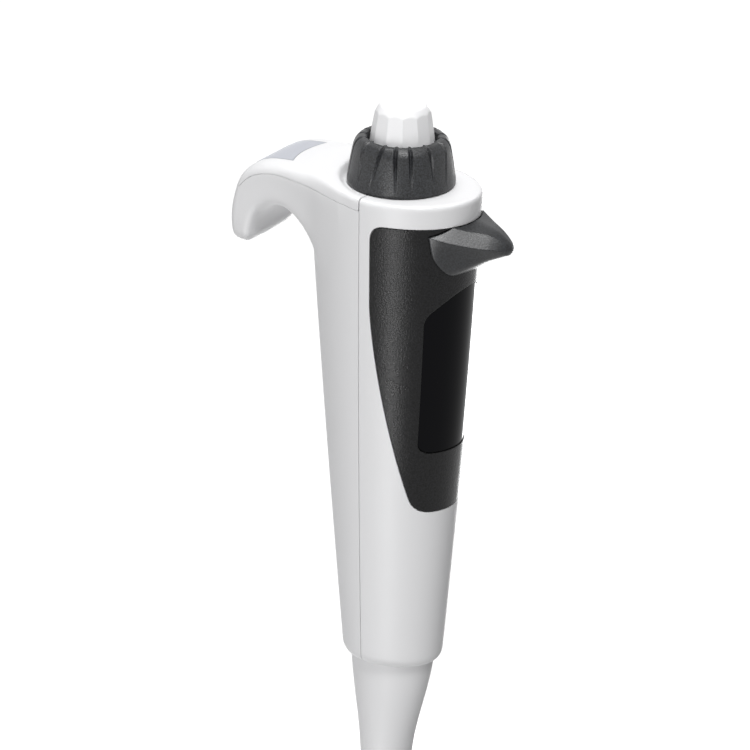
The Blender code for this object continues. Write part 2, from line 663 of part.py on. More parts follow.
def build_button(frame):
    rings = [
        button_ring(BUTTON_TOP_RADIUS, BUTTON_TOP, True),
        button_ring(BUTTON_TOP_RADIUS + 0.9 * MM, BUTTON_TOP - 0.6 * MM, True),
        button_ring(BUTTON_SHOULDER_RADIUS, BUTTON_SHOULDER, True),
        button_ring(BUTTON_RADIUS - 0.35 * MM, KNOB_HEIGHT + 1.0 * MM, True),
        button_ring(BUTTON_RADIUS, KNOB_HEIGHT - 2.0 * MM, False),
        button_ring(BUTTON_RADIUS, BUTTON_SKIRT, False),
        button_ring(BUTTON_HOLLOW_RADIUS, BUTTON_SKIRT, False),
        button_ring(BUTTON_HOLLOW_RADIUS - 0.6 * MM, BUTTON_CEILING, False),
    ]
    piece("thumb_button", loft(rings), "button_white", frame)
    piece("button_shaft", rod(SHAFT_RADIUS, BUTTON_CEILING - GAP, SHAFT_LOW, 28), "steel", frame)
    guide = tube(GUIDE_OUTER_RADIUS, GUIDE_BORE_RADIUS, GUIDE_TOP, CHASSIS_TOP + GAP, 28)
    piece("button_guide", guide, "inner_grey", frame)
    switch_top = SHAFT_LOW - BUTTON_TRAVEL - GAP
    body_top = switch_top - SWITCH_PLUNGER_HEIGHT
    body = box(-SWITCH_HALF_WIDTH, SWITCH_HALF_WIDTH, -SWITCH_HALF_WIDTH, SWITCH_HALF_WIDTH,
               CHASSIS_TOP + GAP, body_top)
    plunger = rod(SWITCH_PLUNGER_RADIUS, switch_top, body_top - GAP, 16)
    piece("button_switch", join(body, plunger), "seal_black", frame)
    spring = coil(BUTTON_SPRING_RADIUS, BUTTON_SPRING_WIRE, BUTTON_CEILING - GAP, GUIDE_TOP + GAP, turns=6,
                  steps=10)
    piece("button_spring", spring, "steel", frame)


def coil(radius, wire, top, low, turns, centre=(0, 0), steps=8, sides=5):
    """A compression spring between two heights, wound round a vertical axis."""
    rings = []
    total = turns * steps
    first = top - wire
    last = low + wire
    rounds = [(cos(2 * pi * j / sides), sin(2 * pi * j / sides)) for j in range(sides)]
    for k in range(total + 1):
        angle = 2 * pi * k / steps
        outward = Vector((cos(angle), sin(angle), 0))
        at = Vector((centre[0], centre[1], first + (last - first) * k / total)) + outward * radius
        rings.append([tuple(at + outward * wire * c + Vector((0, 0, wire * s))) for c, s in rounds])
    return loft(rings, name="coil")


def twin_disc(z_top, z_low):
    """The plate under battery and motor: one outline round both of them."""
    outline = []
    for first, radius, centre_y in ((pi, MOTOR_RADIUS + GAP, 0.0), (0.0, BATTERY_RADIUS + GAP, BATTERY_Y)):
        for k in range(15):
            angle = first + pi * k / 14
            outline.append((radius * cos(angle), centre_y + radius * sin(angle)))
    return prism(outline, "Z", z_top, z_low)


def board_face():
    """Y of the board's front: its screws' heads stay clear of the handle's wall."""
    z = BRACKET_TOPS[1] - BRACKET_HEIGHT / 2
    half_width, front, _ = handle_oval(z, wall_at(z))
    edge = (BOARD_SCREW_X + BOARD_SCREW_RADIUS) / half_width
    return -front * (1 - edge * edge) ** 0.5 + BOARD_CLEARANCE + BOARD_SCREW_HEIGHT + GAP


def board_back():
    return board_face() + BOARD_THICKNESS


def board_bracket(top):
    """A curved arm from the chassis rail round to the board, with a pad for two screws."""
    low = top - BRACKET_HEIGHT
    arm = sector(BRACKET_INNER_RADIUS, -board_back() - BRACKET_CLEARANCE, 168, 300, top, low)
    pad = box(-PAD_HALF_WIDTH, PAD_HALF_WIDTH, board_back() + GAP, PAD_INNER_Y, low, top)
    return join(arm, pad)


def tongue(top):
    """What joins a plate to the chassis rail."""
    reach = RAIL_OUTER_X - 0.4 * MM
    return box(-reach, -reach / 2, -TONGUE_HALF_WIDTH, TONGUE_HALF_WIDTH, top - PLATE_THICKNESS, top)


def build_chassis(frame):
    rail = box(-RAIL_OUTER_X, -RAIL_OUTER_X + RAIL_THICKNESS, -RAIL_HALF_WIDTH, RAIL_HALF_WIDTH,
               LOW_PLATE_TOP - PLATE_THICKNESS, CHASSIS_TOP)
    mid_top = MOTOR_TOP + GAP + PLATE_THICKNESS
    top_plate = rod(CHASSIS_DISC_RADIUS, CHASSIS_TOP, CHASSIS_TOP - PLATE_THICKNESS)
    low_plate = rod(LOW_PLATE_RADIUS, LOW_PLATE_TOP, LOW_PLATE_TOP - PLATE_THICKNESS)
    collar = tube(LOW_PLATE_RADIUS, BARREL_FLANGE_RADIUS + 0.4 * MM, LOW_PLATE_TOP - 1.0 * MM, COLLAR_LOW, 28)
    brackets = [board_bracket(top) for top in BRACKET_TOPS]
    chassis = join(rail, top_plate, tongue(CHASSIS_TOP), twin_disc(mid_top, MOTOR_TOP + GAP), tongue(mid_top),
                   low_plate, tongue(LOW_PLATE_TOP), collar, *brackets)
    chassis = cut(chassis, rod(ROD_RADIUS + 0.6 * MM, LOW_PLATE_TOP + OVERRUN, COLLAR_LOW - OVERRUN))
    piece("chassis", chassis, "inner_grey", frame)

    battery_low = mid_top + GAP
    shoulder = BATTERY_TOP - BATTERY_CAP_HEIGHT
    profile = [(BATTERY_CAP_RADIUS, BATTERY_TOP), (BATTERY_CAP_RADIUS, shoulder),
               (BATTERY_RADIUS - BATTERY_EDGE, shoulder), (BATTERY_RADIUS, shoulder - BATTERY_EDGE),
               (BATTERY_RADIUS, battery_low + BATTERY_EDGE), (BATTERY_RADIUS - BATTERY_EDGE, battery_low)]
    piece("battery", turned(profile, 28, (0, BATTERY_Y), closed=False), "battery_blue", frame)
    seat = rod(SCREW_RADIUS + 0.4 * MM, MOTOR_LOW + SCREW_SEAT + 2.0 * MM, MOTOR_LOW - OVERRUN, 20)
    piece("drive_motor", cut(rod(MOTOR_RADIUS, MOTOR_TOP, MOTOR_LOW, 36), seat), "steel", frame)


def build_drive(frame):
    screw = rod(SCREW_RADIUS, MOTOR_LOW + SCREW_SEAT, MOTOR_LOW - SCREW_LENGTH, 20)
    piece("lead_screw", screw, "steel", frame)
    nut_low = NUT_TOP - NUT_LENGTH
    key = box(-RAIL_OUTER_X + RAIL_THICKNESS + GAP, -NUT_RADIUS / 2, -NUT_KEY_HALF_WIDTH, NUT_KEY_HALF_WIDTH,
              NUT_TOP - NUT_KEY_HEIGHT, NUT_TOP)
    nut = cut(join(rod(NUT_RADIUS, NUT_TOP, nut_low), key),
              rod(NUT_BORE_RADIUS, NUT_TOP + OVERRUN, nut_low + NUT_FLOOR, 20))
    piece("nut_carriage", nut, "nozzle_white", frame)
    head_top = nut_low - GAP
    head_low = head_top - ROD_HEAD_THICKNESS
    piston_low = PISTON_TOP - PISTON_THICKNESS
    middle = (PISTON_TOP + piston_low) / 2
    seat_top = middle + SEAL_SEAT_HEIGHT / 2
    seat_low = middle - SEAL_SEAT_HEIGHT / 2
    profile = [(ROD_HEAD_RADIUS, head_top), (ROD_HEAD_RADIUS, head_low), (ROD_RADIUS, head_low),
               (ROD_RADIUS, PISTON_TOP), (PISTON_RADIUS, PISTON_TOP), (PISTON_RADIUS, seat_top),
               (SEAL_SEAT_RADIUS, seat_top), (SEAL_SEAT_RADIUS, seat_low), (PISTON_RADIUS, seat_low),
               (PISTON_RADIUS, piston_low)]
    piece("piston_rod", turned(profile, 24, closed=False), "steel", frame)
    margin = GAP * 0.8
    seal = tube(BARREL_BORE_RADIUS - GAP, SEAL_SEAT_RADIUS + GAP, seat_top - margin, seat_low + margin, 28)
    piece("piston_seal", seal, "seal_black", frame)
    inner = NUT_RADIUS + GAP
    grip_top = nut_low + COUPLING_GRIP
    lip_top = head_low - GAP
    lip_low = lip_top - COUPLING_LIP
    coupling = turned([(inner, grip_top), (COUPLING_RADIUS, grip_top), (COUPLING_RADIUS, lip_low),
                       (ROD_RADIUS + GAP, lip_low), (ROD_RADIUS + GAP, lip_top), (inner, lip_top)], 28)
    piece("rod_coupling", coupling, "inner_grey", frame)


def build_barrel(frame):
    flange_top = LOW_PLATE_TOP - PLATE_THICKNESS - GAP
    flange_low = flange_top - BARREL_FLANGE_THICKNESS
    outer = BARREL_BORE_RADIUS + BARREL_WALL
    barrel = turned([(BARREL_BORE_RADIUS, flange_top), (BARREL_FLANGE_RADIUS, flange_top),
                     (BARREL_FLANGE_RADIUS, flange_low), (outer, flange_low), (outer, BARREL_LOW),
                     (NOZZLE_TOP_RADIUS, CONE_TOP), (NOZZLE_BORE_RADIUS, CONE_TOP),
                     (NOZZLE_BORE_RADIUS, BARREL_LOW - 1.5 * MM),
                     (BARREL_BORE_RADIUS, BARREL_LOW + 1.0 * MM)])
    piece("piston_barrel", barrel, "steel", frame)
    nut = tube(BARREL_FLANGE_RADIUS, outer + GAP, flange_low - GAP, COLLAR_LOW, 32)
    piece("barrel_nut", nut, "inner_grey", frame)
    top = CONE_TOP - GAP
    cone = turned([(NOZZLE_BORE_RADIUS, top), (NOZZLE_TOP_RADIUS, top),
                   (NOZZLE_TOP_RADIUS, top - CONE_SHOULDER), (NOZZLE_RADIUS + 0.2 * MM, top - CONE_NECK),
                   (NOZZLE_RADIUS, CONE_TIP + CONE_SEAT), (NOZZLE_TIP_RADIUS + 0.1 * MM, CONE_TIP + 0.6 * MM),
                   (NOZZLE_TIP_RADIUS - 0.3 * MM, CONE_TIP), (NOZZLE_BORE_RADIUS, CONE_TIP)])
    piece("tip_cone", cone, "nozzle_white", frame)


def sleeve_oval(z, inset=0.0):
    """The sleeve's oval: it leaves the handle as the handle's own form and becomes round."""
    neck = [size - WALL_LOW - SLEEVE_CLEARANCE for size in handle_oval(-HANDLE_LENGTH)]
    if z >= -HANDLE_LENGTH:
        return [size - inset for size in neck]
    if z >= SLEEVE_WAIST:
        t = (-HANDLE_LENGTH - z) / (-HANDLE_LENGTH - SLEEVE_WAIST)
        s = 0.55 * t + 0.45 * t * t * (3 - 2 * t)
        return [size + (SLEEVE_WAIST_RADIUS - size) * s - inset for size in neck]
    t = (SLEEVE_WAIST - z) / (SLEEVE_WAIST - SLEEVE_LOW)
    radius = SLEEVE_WAIST_RADIUS + (SLEEVE_LOW_RADIUS - SLEEVE_WAIST_RADIUS) * (1 - (1 - t) ** 2.2)
    return [radius - inset] * 3


def build_ejector(frame):
    heights = [SLEEVE_TOP, -HANDLE_LENGTH]
    heights += [-HANDLE_LENGTH + (SLEEVE_WAIST + HANDLE_LENGTH) * k / 4 for k in range(1, 5)]
    heights += [SLEEVE_WAIST + (SLEEVE_LOW - SLEEVE_WAIST) * t for t in (0.25, 1.0)]
    outer = [oval_ring(*sleeve_oval(z), z, SLEEVE_POINTS) for z in heights]
    inner = [oval_ring(*sleeve_oval(z, SLEEVE_WALL), z, SLEEVE_POINTS) for z in reversed(heights)]
    piece("ejector_sleeve", loft(outer + inner, closed=True), "white", frame)

    tab_low = TAB_TOP - TAB_HEIGHT
    middle = (YOKE_INNER_RADIUS + YOKE_OUTER_RADIUS) / 2
    yoke = join(sector(YOKE_INNER_RADIUS, YOKE_OUTER_RADIUS, -104, 12, TAB_TOP, tab_low),
                box(-TAB_HALF_WIDTH, TAB_HALF_WIDTH, -TAB_REACH, -middle, tab_low, TAB_TOP))
    piece("ejector_yoke", yoke, "inner_grey", frame)
    key = cut(key_solid(), skin_solid(-KEY_CLEARANCE))
    pocket = box(-TAB_HALF_WIDTH - GAP, TAB_HALF_WIDTH + GAP, -TAB_REACH - GAP, -YOKE_INNER_RADIUS,
                 tab_low - GAP, TAB_TOP + GAP)
    piece("ejector_key", cut(key, pocket), "knob_grey", frame)
    build_ejector_return(frame, tab_low - GAP)


def build_ejector_return(frame, bar_top):
    """The bar that joins yoke and sleeve, and the spring on its post that lifts both."""
    post_at = (POST_X, POST_Y)
    lug_low = LUG_TOP - LUG_THICKNESS
    strip = box(BAR_INNER_X, BAR_INNER_X + BAR_THICKNESS, -BAR_HALF_WIDTH, BAR_HALF_WIDTH,
                SLEEVE_TOP + GAP, bar_top)
    lug = box(POST_X - LUG_WALL, BAR_INNER_X + BAR_THICKNESS / 2, BAR_HALF_WIDTH / 2, POST_Y + LUG_WALL,
              lug_low, LUG_TOP)
    post_hole = rod(POST_RADIUS + LUG_CLEARANCE, LUG_TOP + OVERRUN, lug_low - OVERRUN, 20, post_at)
    coupling_room = rod(COUPLING_RADIUS + LUG_CLEARANCE, LUG_TOP + OVERRUN, lug_low - OVERRUN, 32)
    piece("ejector_bar", cut(join(strip, lug), post_hole, coupling_room), "steel", frame)
    post = rod(POST_RADIUS, LUG_TOP + POST_ABOVE_LUG, LOW_PLATE_TOP + GAP, 20, post_at)
    piece("spring_post", post, "steel", frame)
    spring = coil(EJECTOR_SPRING_RADIUS, EJECTOR_SPRING_WIRE, lug_low - GAP, LOW_PLATE_TOP + GAP, 9, post_at)
    piece("ejector_spring", spring, "steel", frame)


def key_solid():
    """The beak: a faceted loft that narrows from the handle to a rounded point."""
    rings = []
    for reach, top, *edges, keel in KEY_STATIONS:
        half = list(zip(edges[0::2], edges[1::2]))
        outline = [(0, top)] + half + [(0, keel)] + [(-x, z) for x, z in reversed(half)]
        rings.append([(x * MM, -reach * MM, z * MM) for x, z in outline])
    return loft(rings, name="key")


def disc(radius, x, z, from_y, to_y, steps=20):
    """A round piece that lies flat against the board."""
    angles = [2 * pi * k / steps for k in range(steps)]
    return prism([(x + radius * cos(a), z + radius * sin(a)) for a in angles], "Y", from_y, to_y)


def build_electronics(frame):
    front = board_face()
    outline = [(-BOARD_HALF_WIDTH, BOARD_TOP), (BOARD_HALF_WIDTH, BOARD_TOP), (BOARD_HALF_WIDTH, LCD_LOW),
               (BOARD_LOW_HALF_WIDTH, BOARD_LOW), (-BOARD_LOW_HALF_WIDTH, BOARD_LOW),
               (-BOARD_HALF_WIDTH, LCD_LOW)]
    piece("circuit_board", prism(outline, "Y", front, board_back()), "board_green", frame)
    seat = front - GAP
    places = [(x, top - BRACKET_HEIGHT / 2) for top in BRACKET_TOPS for x in (-BOARD_SCREW_X, BOARD_SCREW_X)]
    for number, (x, z) in enumerate(places, 1):
        head = disc(BOARD_SCREW_RADIUS, x, z, seat - BOARD_SCREW_HEIGHT, seat, 16)
        piece(f"board_screw_{number}", head, "steel", frame)
    lcd = box(-LCD_HALF_WIDTH, LCD_HALF_WIDTH, seat - LCD_THICKNESS, seat, LCD_LOW, LCD_TOP)
    piece("lcd_module", lcd, "window_black", frame)
    back = board_back() + GAP
    for name, (x, z, half_width, half_height, thickness) in CHIPS.items():
        chip = box(x - half_width, x + half_width, back, back + thickness, z - half_height, z + half_height)
        piece(name, chip, "seal_black", frame)
    piece("buzzer", disc(BUZZER_RADIUS, 0.0, BUZZER_Z, back, back + BUZZER_THICKNESS), "inner_grey", frame)


def main():
    clear_scene()
    frame = make_frame()
    build_shells(frame)
    build_panel(frame)
    build_knob(frame)
    build_button(frame)
    build_chassis(frame)
    build_drive(frame)
    build_barrel(frame)
    build_ejector(frame)
    build_electronics(frame)


main()
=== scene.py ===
"""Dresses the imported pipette: fine surfaces, materials, light and the view of the photograph."""
import json
import math

import bmesh
import bpy
import numpy as np
import openvdb
from mathutils import Matrix, Vector

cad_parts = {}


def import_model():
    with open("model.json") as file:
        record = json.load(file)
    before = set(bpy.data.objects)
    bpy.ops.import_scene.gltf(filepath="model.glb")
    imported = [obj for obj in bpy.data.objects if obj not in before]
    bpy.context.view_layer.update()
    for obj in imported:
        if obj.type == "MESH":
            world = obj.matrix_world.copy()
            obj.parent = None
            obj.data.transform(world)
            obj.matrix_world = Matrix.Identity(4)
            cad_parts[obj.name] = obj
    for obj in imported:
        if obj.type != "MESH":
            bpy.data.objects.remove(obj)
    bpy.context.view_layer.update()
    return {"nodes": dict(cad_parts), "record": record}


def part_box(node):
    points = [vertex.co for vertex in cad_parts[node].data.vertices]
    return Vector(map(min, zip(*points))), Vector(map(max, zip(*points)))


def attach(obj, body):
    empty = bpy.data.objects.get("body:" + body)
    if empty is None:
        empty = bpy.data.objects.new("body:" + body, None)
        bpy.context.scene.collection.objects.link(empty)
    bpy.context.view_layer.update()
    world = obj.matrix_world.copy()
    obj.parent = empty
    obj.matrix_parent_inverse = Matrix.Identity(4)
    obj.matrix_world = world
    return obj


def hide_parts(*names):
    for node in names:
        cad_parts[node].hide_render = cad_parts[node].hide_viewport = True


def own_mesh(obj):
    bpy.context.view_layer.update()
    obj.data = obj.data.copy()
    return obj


MM = 0.001
TINY = 1e-9
FAR = 99.0
BUTTON_TOP = 22.5              # the deck lies this far below the origin, in mm

# Forms, in mm from the deck. The rear deck, the hook, the inlay, the panel's side and the window's
# corners follow the photograph more closely than the solids do. The rest has the sizes of the solids.
HANDLE_LENGTH = 143.0
TOP_OVAL = (19.0, 23.3, 27.0)  # half width, reach to the front and reach to the back
LOW_OVAL = (12.4, 16.0, 13.2)
SIDE_TAPER_POWER, BACK_TAPER_POWER = 1.4, 1.1
LOW_EDGE = 3.6                 # how softly the sides turn into the lower end
SEAM_Y = 2.0
SEAM = 0.12                    # between the two shells
COVER_GAP = 0.06               # under the top cover
NOTCH = 0.3                    # between the cover and the front shell
GAP = 0.3                      # between pieces that seat on each other
WALL_TOP, WALL_LOW = 2.4, 1.8
DECK_THICKNESS = 2.9
DECK_HOLE_RADIUS = 7.3
# y and z outside, y and z inside, half width outside and inside
HOOK_STATIONS = [
    (9.0, 1.4, 9.0, -30.0, 18.0, 11.0),
    (15.4, 2.6, 16.5, -28.6, 17.2, 11.8),
    (20.0, 3.2, 19.6, -22.1, 16.3, 12.6),
    (25.5, 3.3, 23.4, -16.2, 15.5, 13.2),
    (31.0, 3.0, 26.6, -12.4, 14.9, 13.6),
    (36.5, 2.1, 30.2, -10.6, 14.5, 13.8),
    (41.0, 0.2, 34.2, -10.9, 14.2, 13.8),
    (44.4, -3.1, 37.4, -13.0, 13.9, 13.7),
    (46.4, -8.5, 39.3, -15.6, 13.7, 13.6),
    (47.4, -14.5, 40.4, -18.4, 13.5, 13.4),
    (47.3, -19.3, 41.0, -21.0, 13.1, 13.1),
    (46.6, -22.4, 41.6, -22.8, 12.8, 12.9),
]
HOOK_LOW = -52.0               # nothing of the hook lies lower
HOOK_ROUNDNESS, HOOK_INNER_ROUNDNESS = 6.0, 5.5
HOOK_END, HOOK_CROWN, HOOK_JOIN, ROOF_EDGE = 3.0, 1.2, 3.4, 1.3
ROOF_LINE = [(-40, 0), (1, 0), (4, 0.3), (8, 1.0), (14, 2.1), (20, 2.9), (26, 3.2), (60, 3.2)]
KNOB_RECESS = (15.4, 17.6)
COVER_LINE = [(2.0, -3.4), (11.0, -2.2), (20.0, -1.1), (29.0, -0.3), (33.4, -0.4), (37.3, -1.3),
              (40.8, -3.1), (44.0, -6.3)]
PANEL_TOP, PANEL_LOW = -6.5, -92.5
PANEL_SIDE_Y, PANEL_SWEEP, PANEL_SWEEP_START, PANEL_SWEEP_POWER = -1.35, 11.85, -30.0, 1.42
PANEL_THICKNESS, PANEL_CORNER = 1.2, 4.6
WINDOW_TOP, WINDOW_LOW = -25.6, -73.8
WINDOW_HALF_WIDTH, WINDOW_LOW_HALF_WIDTH = 12.6, 11.6
WINDOW_ARCH, WINDOW_ARCH_END, WINDOW_CORNER, WINDOW_SINK = 7.0, 10.4, 3.4, 0.25
WINDOW_ARCH_POWER = 2.2
EDGE_GAP = 0.2                 # round the panel, the window and the inlay
# x, y and z, from and to
DISPLAY_APERTURE = (-9, 9, -40, -11, -71.5, -34.5)
KEY_SLOT = (-3.2, 3.2, -40, -13, -20.8, -8.6)
BAR_ROOM = (9.0, 10.95, -2.9, 2.9, -142.3, -100.0)
INLAY = {"half": 8.8, "front": 29.4, "arc": 1.8, "depth": 1.2, "low": -4.6}
KNOB_RADIUS, KNOB_HEIGHT = 14.9, 13.5
# shares of radius and height up the outside, then radius and height down the inside
KNOB_PROFILE = [(1.000, 0.022), (1.003, 0.104), (0.966, 0.385), (0.916, 0.711), (0.880, 0.859),
                (0.800, 0.970), (0.710, 1.000)]
KNOB_INSIDE = [(9.8, 13.2), (9.5, 12.5), (9.5, 1.8), (5.6, 1.8), (5.6, -8.3), (6.8, -8.3), (6.8, 0.3)]
KNOB_GROOVES = [(4.3, -6.0), (21.8, 24.7), (40.9, 40.6), (65.9, 68.3)]  # degrees above and below
GROOVE_DEPTH, GROOVE_START = 1.15, 0.104
GROOVE_TOP_ANGLE, GROOVE_LOW_ANGLE = 3.4, 1.4
GROOVE_SHARES = (-1.15, -1.0, -0.66, -0.33, 0.0, 0.33, 0.66, 1.0, 1.15)
LAND_FLATNESS = 0.55
BUTTON_FACETS = 12
BUTTON_FACET_START, BUTTON_FACET_RUN, BUTTON_ARCH_EDGE = 11.5, 3.0, 0.12
BUTTON_SIDE = [(5.0, 9.0), (11.5, 9.0), (14.5, 8.65), (20.0, 7.75), (23.0, 7.26)]
BUTTON_SHOULDER = [(17.0, 9.9), (20.2, 7.85), (22.2, 6.5), (22.4, 6.25), (22.5, 5.9)]
BUTTON_DISH = [(0.3, 0.16), (0.62, 0.12), (0.85, 0.04)]     # share of the radius and depth
BUTTON_HOLLOW = [(7.0, 5.0), (6.4, 17.0)]                   # radius and height
SLEEVE_TOP, SLEEVE_WAIST, SLEEVE_LOW = -134.0, -174.0, -231.0
SLEEVE_WAIST_RADIUS, SLEEVE_LOW_RADIUS, SLEEVE_WALL, SLEEVE_CLEARANCE = 7.6, 5.6, 1.1, 0.4
SLEEVE_BLEND, SLEEVE_TAPER_POWER = (0.55, 0.45), 2.2        # blend: shares of straight and of eased
SLEEVE_LIP = [(0.0, 0.4), (0.12, 0.12), (0.4, 0.0)]         # how far in and how far up
CONE = [(1.5, -181.3), (4.4, -181.3), (4.6, -181.5), (4.6, -183.3), (4.1, -190.3), (3.9, -229.0),
        (3.42, -241.2), (3.3, -241.7), (3.0, -242.0), (1.5, -242.0)]
# node, body, joint, travel, radius, wire radius and turns
SPRINGS = [("button_spring", "button", "button_press", 2.5, 4.4, 0.35, 6),
           ("ejector_spring", "ejector", "ejector_slide", 8.0, 2.0, 0.3, 9)]
TAB = {"half": 2.6, "reach": 26.5, "inner": 9.8, "top": -8.9, "low": -12.5}
KEY_CLEARANCE = 0.35
KEY_ROOT, KEY_BLUNT_START, KEY_BLUNT = 12.0, 34.5, 0.9
# reach and ridge's height; x and z of the upper facet's edge, the lower facet's edge, the flank and the
# foot; the keel's height
KEY_STATIONS = [
    (12.0, -5.0, 11.5, -5.0, 15.0, -8.0, 13.8, -16.6, 10.8, -21.8, -23.2),
    (16.0, -5.1, 10.6, -5.3, 13.8, -8.5, 12.9, -16.6, 10.4, -21.8, -23.2),
    (19.0, -5.4, 9.5, -5.9, 12.8, -9.3, 11.5, -16.4, 9.2, -21.2, -22.9),
    (22.2, -6.0, 7.9, -6.7, 11.1, -10.1, 9.4, -15.6, 7.6, -19.9, -21.7),
    (25.2, -6.8, 6.1, -7.5, 9.3, -10.8, 7.5, -14.9, 5.9, -18.0, -19.4),
    (29.4, -7.7, 3.6, -8.1, 6.8, -11.6, 5.2, -14.0, 3.9, -15.7, -16.6),
    (31.1, -8.3, 2.9, -8.7, 5.6, -11.8, 4.3, -13.7, 3.2, -15.0, -15.8),
    (33.2, -9.5, 2.1, -9.9, 3.9, -12.0, 3.0, -13.4, 2.1, -14.2, -14.8),
    (34.6, -10.6, 1.4, -10.9, 2.5, -12.3, 2.0, -13.3, 1.5, -13.8, -14.2),
    (35.4, -11.4, 0.7, -11.6, 1.2, -12.4, 1.0, -13.0, 0.7, -13.3, -13.5),
]


def world(points):
    """Millimetres from the deck to metres in the row frame."""
    moved = np.array(points, float)
    moved[:, 2] -= BUTTON_TOP
    return moved * MM


def mesh_object(name, points, faces):
    mesh = bpy.data.meshes.new(name)
    mesh.from_pydata([tuple(p) for p in world(points)], [], [tuple(f) for f in faces])
    bm = bmesh.new()
    bm.from_mesh(mesh)
    bmesh.ops.recalc_face_normals(bm, faces=bm.faces)
    bm.to_mesh(mesh)
    bm.free()
    obj = bpy.data.objects.new(name, mesh)
    bpy.context.scene.collection.objects.link(obj)
    return obj


def loft(name, rings, closed=False):
    """A skin over rings of equal count, with flat ends or, if closed, from the last ring to the first."""
    rings = [np.array(r, float) for r in rings]
    count = len(rings[0])
    points = np.concatenate(rings)
    faces = []
    pairs = [(k, k + 1) for k in range(len(rings) - 1)]
    if closed:
        pairs.append((len(rings) - 1, 0))
    for upper, lower in pairs:
        for i in range(count):
            j = (i + 1) % count
            faces.append((upper * count + i, upper * count + j, lower * count + j, lower * count + i))
    if not closed:
        faces.append(tuple(range(count)))
        faces.append(tuple(range((len(rings) - 1) * count, len(rings) * count)))
    return mesh_object(name, points, faces)


def prism(name, outline, axis, start, end):
    place = {"X": lambda u, v, w: (w, u, v), "Y": lambda u, v, w: (u, w, v),
             "Z": lambda u, v, w: (u, v, w)}[axis]
    return loft(name, [[place(u, v, w) for u, v in outline] for w in (start, end)])


def cut(obj, tool, operation="DIFFERENCE", keep=False):
    """One Boolean step, applied at once."""
    modifier = obj.modifiers.new("cut", "BOOLEAN")
    modifier.operation = operation
    modifier.solver = "MANIFOLD"
    modifier.object = tool
    bpy.context.view_layer.update()
    result = bpy.data.meshes.new_from_object(obj.evaluated_get(bpy.context.evaluated_depsgraph_get()))
    obj.modifiers.clear()
    old = obj.data
    obj.data = result
    bpy.data.meshes.remove(old)
    if not keep:
        bpy.data.objects.remove(tool, do_unlink=True)
    return obj


def copy_of(obj, name):
    made = bpy.data.objects.new(name, obj.data.copy())
    bpy.context.scene.collection.objects.link(made)
    return made


def smooth_min(a, b, k):
    """The lesser of two fields, rounded where they come within k of each other."""
    h = np.clip(k - np.abs(a - b), 0, None) / k
    return np.minimum(a, b) - h * h * k / 4


def smooth_max(a, b, k):
    return -smooth_min(-a, -b, k)


def handle_oval(z, inset=0.0):
    """Half width, front reach and back reach at a height."""
    t = np.clip(-np.asarray(z, float) / HANDLE_LENGTH, 0, 1)
    side, back = t ** SIDE_TAPER_POWER, t ** BACK_TAPER_POWER
    return (TOP_OVAL[0] + (LOW_OVAL[0] - TOP_OVAL[0]) * side - inset,
            TOP_OVAL[1] + (LOW_OVAL[1] - TOP_OVAL[1]) * side - inset,
            TOP_OVAL[2] + (LOW_OVAL[2] - TOP_OVAL[2]) * back - inset)


def handle_field(x, y, z):
    half, front, back = handle_oval(z)
    reach = np.where(y > 0, back, front)
    r = np.sqrt((x / half) ** 2 + (y / reach) ** 2) + TINY
    slope = np.sqrt((x / half ** 2) ** 2 + (y / reach ** 2) ** 2) / r
    return (r - 1) / np.maximum(slope, 1 / 30)


def hook_samples(count=220):
    """The hook's stations, with smooth values in between: mid, outward direction, half sizes."""
    table = np.array(HOOK_STATIONS)
    steps = np.arange(len(table))
    s = np.linspace(0, len(table) - 1, count)
    fine = np.stack([catmull(steps, table[:, k], s) for k in range(6)], 1)
    outer, inner = fine[:, 0:2], fine[:, 2:4]
    reach = outer - inner
    length = np.linalg.norm(reach, axis=1)
    direction = reach / length[:, None]
    return {"mid": (outer + inner) / 2, "out": direction, "half": length / 2,
            "along": np.stack([direction[:, 1], -direction[:, 0]], 1), "width": fine[:, 4:6]}


def catmull(x, y, at):
    """A smooth curve through the values y at the whole numbers x."""
    padded = np.concatenate([[2 * y[0] - y[1]], y, [2 * y[-1] - y[-2]]])
    i = np.clip(at.astype(int), 0, len(x) - 2)
    t = at - i
    p0, p1, p2, p3 = padded[i], padded[i + 1], padded[i + 2], padded[i + 3]
    return 0.5 * (2 * p1 + (p2 - p0) * t + (2 * p0 - 5 * p1 + 4 * p2 - p3) * t ** 2
                  + (3 * p1 - p0 - 3 * p2 + p3) * t ** 3)


def hook_field(x, y, z, samples, chunk=20000):
    result = np.empty(len(x))
    for start in range(0, len(x), chunk):
        part = slice(start, start + chunk)
        result[part] = hook_part(x[part], y[part], z[part], samples)
    return result


